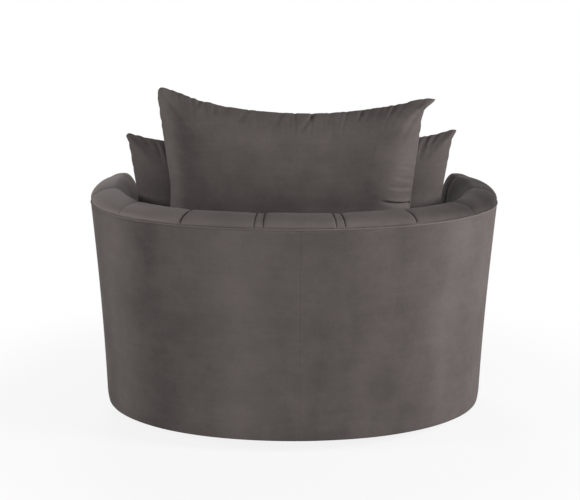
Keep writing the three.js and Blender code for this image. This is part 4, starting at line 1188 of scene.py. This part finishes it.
# A pillow's front and back panel, and the way each looks
PANEL_SIDES = ((0, -1.0), (1, 1.0))
PANEL_LIFT = 0.006
MIDDLE_GATHER_SHARE = 0.3
LARGE_SAG = 0.205
SMALL_SAG = 0.15

# The panels' outline, in shares of their size: how far the sides and the bottom are drawn in
OUTLINE_POWER = 2.6
LOWER_SIDE_DRAW = 0.085
FOOT_DRAW = 0.06
BOTTOM_DRAW = 0.15
UPPER_WIDTH = 0.915
TIP_REACH = 0.09

# Painted light and shade on the large pillow: darker overall and on one side, with a lighter edge, where the
# lamps fall. Share of the half panel, width and amount
LARGE_SHADING_BANDS = ((0.0, 1.5, -0.035), (0.96, 0.06, 0.16), (0.80, 0.12, -0.09), (-0.64, 0.16, -0.13))

# Creases of the back panels: from, to (shares across and up the panel), depth and width.
# Each has a low ridge on one side, and a width below 0 puts it on the other.
LARGE_CREASES = (
    ((-0.99, -0.12), (-0.72, 0.0), 0.0130, -0.0055),
    ((-0.99, 0.05), (-0.76, 0.17), 0.0042, 0.005),
    ((-0.99, 0.14), (-0.80, 0.27), 0.0036, 0.005),
    ((-0.99, 0.26), (-0.84, 0.37), 0.0030, 0.005),
    ((-0.96, 0.88), (-0.82, 0.62), 0.0060, 0.010),
    ((-0.128, 1.00), (-0.035, 0.84), 0.0060, 0.005),
    ((-0.475, 1.00), (-0.46, 0.90), 0.0060, 0.004),
    ((0.03, 1.00), (0.05, 0.88), 0.0025, 0.006),
    ((0.10, 1.00), (0.16, 0.88), 0.0030, 0.006),
    ((0.34, 1.00), (0.44, 0.86), 0.0040, 0.006),
    ((0.56, 1.00), (0.60, 0.90), 0.0030, 0.005),
    ((0.68, 1.00), (0.74, 0.90), 0.0035, 0.005),
    ((-0.70, 1.00), (-0.69, 0.92), 0.0030, 0.005),
)
SMALL_CREASES = (
    ((0.34, 1.00), (0.38, 0.70), 0.0030, 0.006),
    ((0.50, 1.00), (0.47, 0.80), 0.0028, 0.006),
    ((0.60, 1.00), (0.54, 0.68), 0.0030, 0.007),
    ((0.74, 1.00), (0.66, 0.86), 0.0026, 0.006),
    ((0.97, 0.60), (0.80, 0.52), 0.0020, 0.007),
)


class Ear(NamedTuple):
    """How an upper corner of a pillow stands out from the sides, in shares of the half panel."""

    flare: float
    tip: float
    sag_power: float
    sag_reach: float
    lift: float
    blunt: float


class Pillow(NamedTuple):
    """What a loose pillow is made from."""

    node: str
    tilt: float
    size: tuple
    panel: tuple
    sag: float
    ears: dict
    bands: tuple
    creases: tuple


# Each pillow's ears by their side: 1 is towards +X
LARGE_EARS = {1: Ear(0.115, 0.0, 2.2, 1.0, 0.064, 0.056), -1: Ear(0.030, 0.092, 1.9, 0.93, 0.0, 0.012)}
SMALL_EARS = {1: Ear(0.046, 0.055, 1.9, 0.93, 0.050, 0.052),
              -1: Ear(0.040, 0.055, 1.9, 0.93, 0.046, 0.018)}
MIRRORED_CREASES = tuple(((-start[0], start[1]), (-end[0], end[1]), depth, width)
                         for start, end, depth, width in SMALL_CREASES)
PILLOWS = (
    Pillow("large_back_pillow", LARGE_TILT, LARGE_SIZE, LARGE_PANEL, LARGE_SAG, LARGE_EARS, LARGE_SHADING_BANDS,
           LARGE_CREASES),
    Pillow("small_pillow_left", SMALL_TILT, SMALL_SIZE, SMALL_PANEL, SMALL_SAG, SMALL_EARS, (),
           SMALL_CREASES),
    Pillow("small_pillow_right", -SMALL_TILT, SMALL_SIZE, SMALL_PANEL, SMALL_SAG, SMALL_EARS, (),
           MIRRORED_CREASES),
)


def panel_shares(rows, columns):
    """Shares across and up a panel, from -1 to 1."""
    return np.meshgrid(np.linspace(-1, 1, columns), np.linspace(-1, 1, rows))


def pillow_outline(pillow, u, v):
    """Across and up at shares of a pillow's panel, with its sides drawn in between the corners."""
    below = 1 - LOWER_SIDE_DRAW * (1 - np.abs(v) ** OUTLINE_POWER) - FOOT_DRAW * np.clip(-v, 0, 1) ** 4
    lower = 1 - BOTTOM_DRAW * (1 - np.abs(u) ** OUTLINE_POWER)
    wide, tall, blunt = (np.zeros_like(u) for part in range(3))
    for side, ear in pillow.ears.items():
        here = u * side >= 0
        wide[here] = (UPPER_WIDTH + ear.flare * v + ear.tip * np.exp(-((1 - v) / TIP_REACH) ** 2))[here]
        fall = np.clip(1 - (np.abs(u) / ear.sag_reach) ** ear.sag_power, 0, 1)
        tall[here] = (1 + ear.lift * np.abs(u) ** 4 - pillow.sag * fall)[here]
        blunt[here] = (1 - ear.blunt * np.exp(-(2 - np.abs(u) - np.abs(v)) / EAR_ROUNDING))[here]
    across = u * pillow.size[0] / 2 * np.where(v < 0, below, wide) * blunt
    up = v * pillow.size[1] / 2 * np.where(v < 0, lower, tall) * blunt
    return across, up


def refined(grid):
    """A grid with a place more between each two, on smooth curves through them."""
    for axis in (1, 2):
        grid = np.moveaxis(grid, axis, 0)
        padded = np.concatenate([2 * grid[:1] - grid[1:2], grid, 2 * grid[-1:] - grid[-2:-1]])
        middle = (9 * (padded[1:-2] + padded[2:-1]) - padded[:-3] - padded[3:]) / 16
        finer = np.zeros((2 * len(grid) - 1, *grid.shape[1:]))
        finer[::2] = grid
        finer[1::2] = middle
        grid = np.moveaxis(finer, 0, axis)
    return grid


def evened(grid, passes):
    """A grid whose inner places are drawn towards their neighbours."""
    grid = grid.copy()
    for step in range(passes):
        around = grid[:, :-2, 1:-1] + grid[:, 2:, 1:-1] + grid[:, 1:-1, :-2] + grid[:, 1:-1, 2:]
        grid[:, 1:-1, 1:-1] = grid[:, 1:-1, 1:-1] / 2 + around / 8
    return grid


def low_pass(line, waves=14):
    """A line of offsets without its short waves; its ends stay where they are."""
    share = np.linspace(0, 1, len(line))[:, None]
    straight = mix(line[0], line[-1], share)
    rest = line - straight
    kept = np.zeros_like(line)
    for wave in range(1, waves + 1):
        shape = np.sin(math.pi * wave * share)
        kept += shape * (rest * shape).sum(axis=0) / (shape ** 2).sum()
    return straight + kept


class CHAIR_OT_pillows(bpy.types.Operator):
    """Sew, fill and place the large back pillow and the two small ones"""

    bl_idname = "chair.pillows"
    bl_label = "Loose pillows"

    def execute(self, context):
        for pillow in PILLOWS:
            self.add_pillow(pillow)
        return {"FINISHED"}

    def add_pillow(self, pillow):
        turn = Matrix.Rotation(-PILLOW_LEAN, 3, "X") @ Matrix.Rotation(pillow.tilt, 3, "Y")
        solid, centre = self.solid_in_place(pillow.node, turn)
        grid = self.plain_filling(pillow)
        grid = self.gathered(grid, self.fill(pillow.size, pillow.panel), pillow.size[0])
        grid = self.inside_node(refined(grid), solid)
        grid = self.creased(self.puckered(grid, pillow.size), pillow.size, pillow.creases)
        fine_panel = (2 * pillow.panel[0], 2 * pillow.panel[1])
        work = self.sewn_panels(pillow.size, fine_panel)
        order = self.panel_order(work, pillow.size, fine_panel)
        piece = velvet_piece(f"{pillow.node}_velvet", work, [pillow.node], pillow.node, "pillow_velvet")
        places = np.zeros((len(piece.data.vertices), 3))
        nap = np.zeros(len(places))
        for side in (0, 1):
            places[order[side]] = grid[side]
            # Painted light and shade across each panel
            nap[order[side]] = banded(np.linspace(-1, 1, grid.shape[2]), pillow.bands)
        paint_shading(piece, nap)
        places = (places + centre) @ np.array(turn).T
        piece.data.vertices.foreach_set("co", places.ravel())
        piece.data.update()

    def solid_in_place(self, node, turn):
        """The frame's solid pillow, turned upright about its own centre, and that centre."""
        back = turn.inverted()
        mesh = frame["nodes"][node].data
        corners = np.array([back @ vertex.co for vertex in mesh.vertices])
        centre = (corners.min(axis=0) + corners.max(axis=0)) / 2
        faces = [list(face.vertices) for face in mesh.polygons]
        return BVHTree.FromPolygons([tuple(corner) for corner in corners - centre], faces), centre

    def sewn_panels(self, size, panel):
        """Two flat panels, a little apart in the middle, sewn to each other all round."""
        work = bmesh.new()
        for face in (-1, 1):
            grid = bmesh.ops.create_grid(work, x_segments=panel[0], y_segments=panel[1], size=1)["verts"]
            for vertex in grid:
                u, v = vertex.co.x, vertex.co.y
                lift = PANEL_LIFT * max(0.0, (1 - u * u) * (1 - v * v)) ** 0.5
                vertex.co = (u * size[0] * PANEL_EASE / 2, face * lift, v * size[1] * PANEL_EASE / 2)
        bmesh.ops.remove_doubles(work, verts=work.verts, dist=FINE_WELD)
        bmesh.ops.recalc_face_normals(work, faces=work.faces)
        work.verts.index_update()
        return work

    def panel_order(self, work, size, panel):
        """Indices of the two panels' vertices, row by row. The seam's are in both."""
        order = np.zeros((2, panel[1] + 1, panel[0] + 1), int)
        for vertex in work.verts:
            column = round((vertex.co.x / (size[0] * PANEL_EASE) + 0.5) * panel[0])
            row = round((vertex.co.z / (size[1] * PANEL_EASE) + 0.5) * panel[1])
            if vertex.co.y <= NEXT_TO_NOTHING:
                order[0, row, column] = vertex.index
            if vertex.co.y >= -NEXT_TO_NOTHING:
                order[1, row, column] = vertex.index
        return order

    def fill(self, size, panel):
        """Swells the sewn panels with air in place of filling, and gives their places."""
        work = self.sewn_panels(size, panel)
        order = self.panel_order(work, size, panel)
        case = add_object("sewn_panels", mesh_of("sewn_panels", work))
        scene = bpy.context.scene
        cloth = case.modifiers.new("filling", "CLOTH")
        settings = cloth.settings
        settings.quality = 5
        settings.use_pressure = True
        settings.uniform_pressure_force = 0
        settings.use_pressure_volume = True
        settings.target_volume = FULLNESS * size[0] * size[1] * size[2]
        settings.pressure_factor = scene.chair_sizes.filling_pressure
        settings.effector_weights.gravity = 0
        settings.air_damping = 3
        settings.tension_stiffness = 30
        settings.compression_stiffness = 30
        settings.shear_stiffness = 2
        settings.bending_stiffness = 0.05
        cloth.collision_settings.use_collision = False
        cloth.point_cache.frame_start = 1
        cloth.point_cache.frame_end = FILLING_STEPS
        for step in range(1, FILLING_STEPS + 1):
            scene.frame_set(step)
        swollen = case.evaluated_get(bpy.context.evaluated_depsgraph_get()).data
        places = np.zeros(len(swollen.vertices) * 3)
        swollen.vertices.foreach_get("co", places)
        scene.frame_set(1)
        bpy.data.objects.remove(case)
        return places.reshape(-1, 3)[order]

    def plain_filling(self, pillow):
        """The pillow's finished outline and crown, before its gathers."""
        u, v = panel_shares(pillow.panel[1] + 1, pillow.panel[0] + 1)
        across, up = pillow_outline(pillow, u, v)
        sides = 1 - np.exp(-(1 - np.abs(u)) * pillow.size[0] / 2 / SIDE_TURN)
        ends = 1 - np.exp(-(1 - np.abs(v)) * pillow.size[1] / 2 / TOP_TURN)
        crown = sides * ends
        thick = pillow.size[2] / 2 * crown / crown.max()
        return np.stack([np.stack([across, face * thick, up], axis=-1) for face in (-1, 1)])

    def gathered(self, plain, swollen, width):
        """Adds the filled cloth's gathers to the finished shape, strongest along the seam."""
        broad = evened(swollen, SOFTENING_PASSES)
        for line in ((slice(None), 0), (slice(None), -1), (0, slice(None)), (-1, slice(None))):
            for side in (0, 1):
                broad[side][line] = low_pass(swollen[side][line])
        folds = evened(swollen - broad, CALMING_PASSES)
        rows, columns = plain.shape[1:3]
        down = np.minimum(np.arange(rows), np.arange(rows)[::-1])[:, None]
        inwards = np.minimum(np.arange(columns), np.arange(columns)[::-1])[None, :]
        from_seam = np.minimum(down, inwards) * width / columns
        kept = GATHER_GAIN * mix(MIDDLE_GATHER_SHARE, 1.0, np.exp(-from_seam / GATHER_REACH))
        return plain + folds * kept[None, :, :, None] * np.array([SEAM_WAVES, 1, SEAM_WAVES])

    def inside_node(self, grid, solid):
        """Holds the pillow's faces to the room that the frame's solid pillow has."""
        for side, out in PANEL_SIDES:
            for place in grid[side, 1:-1, 1:-1].reshape(-1, 3):
                hit = solid.ray_cast(Vector((place[0], out, place[2])), Vector((0, -out, 0)))[0]
                limit = max(EAR_FULLNESS, abs(hit.y) + NODE_CLEARANCE if hit else 0)
                place[1] = out * min(out * place[1], limit)
        return grid

    def puckered(self, grid, size):
        """Draws the cloth in along the top seam, in short folds of uneven depth."""
        u, v = panel_shares(*grid.shape[1:3])
        along = u * size[0] / 2
        below = (1 - v) * size[1] / 2
        for side, out in PANEL_SIDES:
            shifted = np.full_like(u, side * PANEL_SHIFT)
            line = np.stack([along + PUCKER_SPREAD * below * u, shifted, below * PUCKER_STRETCH], axis=-1)
            fold =np.clip(wobble(line, PUCKER_PITCH, seed=31) * PUCKER_SHARPNESS, 0, 1)
            field = wobble(line, 5 * PUCKER_PITCH, seed=32)
            strength = np.clip(field * PUCKER_UNEVENNESS + PUCKER_STRENGTH, 0, 1)
            strength *= eased(1 - np.abs(u), 0, PUCKER_END_SHARE)
            drawn = fold * strength * np.exp(-below / PUCKER_REACH)
            grid[side, ..., 1] -= out * PUCKER_DEPTH * drawn * np.clip(below / PUCKER_START, 0, 1)
        grid[..., 2] -= PUCKER_DIP * drawn
        return grid

    def creased(self, grid, size, creases):
        """Draws creases into the back panel, each with a low ridge beside it, and nips the seam there."""
        rows, columns = grid.shape[1:3]
        u, v = panel_shares(rows, columns)
        half = np.array(size[:2]) / 2
        flat = np.stack([u, v], axis=-1) * half
        from_ends, from_sides = (1 - np.abs(v)) * rows, (1 - np.abs(u)) * columns
        edge = 2 * CREASE_EDGE_ROWS
        inner = np.clip(from_ends / edge, 0, 1) * np.clip(from_sides / edge, 0, 1)
        for start, end, depth, width in creases:
            offset = flat - half * start
            run = half * end - half * start
            length = np.linalg.norm(run)
            share = np.clip(offset @ run / length ** 2, 0, 1)
            beside = offset @ np.array([run[1], -run[0]]) / length
            ahead = np.linalg.norm(offset - share[..., None] * run, axis=-1)
            away = np.where((share > 0) & (share < 1), beside, ahead)
            fade = depth * (1 - share ** 2)
            mark = fade * np.exp(-(away / width) ** 2)
            ridge = RIDGE_SHARE * fade * np.exp(-((away - RIDGE_PLACE * width) / width) ** 2)
            grid[1, ..., 1] += (ridge - mark) * inner
            if start[1] == 1:
                nip = NIP_SHARE * mark * np.clip((v - NIP_SPAN[0]) / NIP_SPAN[1], 0, 1)
                grid[0, -1, :, 2] -= nip[-1]
                grid[1, ..., 2] -= nip
        return grid


class CHAIR_PT_panel(bpy.types.Panel):
    """Lists the chair's pieces in the sidebar"""

    bl_idname = "CHAIR_PT_panel"
    bl_label = "Cuddle chair"
    bl_space_type = "VIEW_3D"
    bl_region_type = "UI"
    bl_category = "Chair"

    def draw(self, context):
        for group in ("chair_sizes", "chair_colours", "chair_studio"):
            settings = getattr(context.scene, group)
            for name in settings.bl_rna.properties.keys():
                if name not in ("rna_type", "name"):
                    self.layout.prop(settings, name)
        for operator in OPERATORS:
            self.layout.operator(operator.bl_idname)


GROUPS = {"chair_sizes": ChairSizes, "chair_colours": ChairColours, "chair_studio": StudioSettings}
OPERATORS = (CHAIR_OT_studio, CHAIR_OT_frame_finishes, CHAIR_OT_swivel_base, CHAIR_OT_outer_covers,
             CHAIR_OT_inner_back, CHAIR_OT_seat, CHAIR_OT_pillows)


def register():
    for kind in (*GROUPS.values(), *OPERATORS, CHAIR_PT_panel):
        bpy.utils.register_class(kind)
    for name, kind in GROUPS.items():
        setattr(bpy.types.Scene, name, PointerProperty(type=kind))


def unregister():
    for name in GROUPS:
        delattr(bpy.types.Scene, name)
    for kind in (CHAIR_PT_panel, *reversed(OPERATORS), *GROUPS.values()):
        bpy.utils.unregister_class(kind)


def main():
    register()
    for operator in OPERATORS:
        group, name = operator.bl_idname.split(".")
        getattr(getattr(bpy.ops, group), name)()


if __name__ == "__main__":
    main()
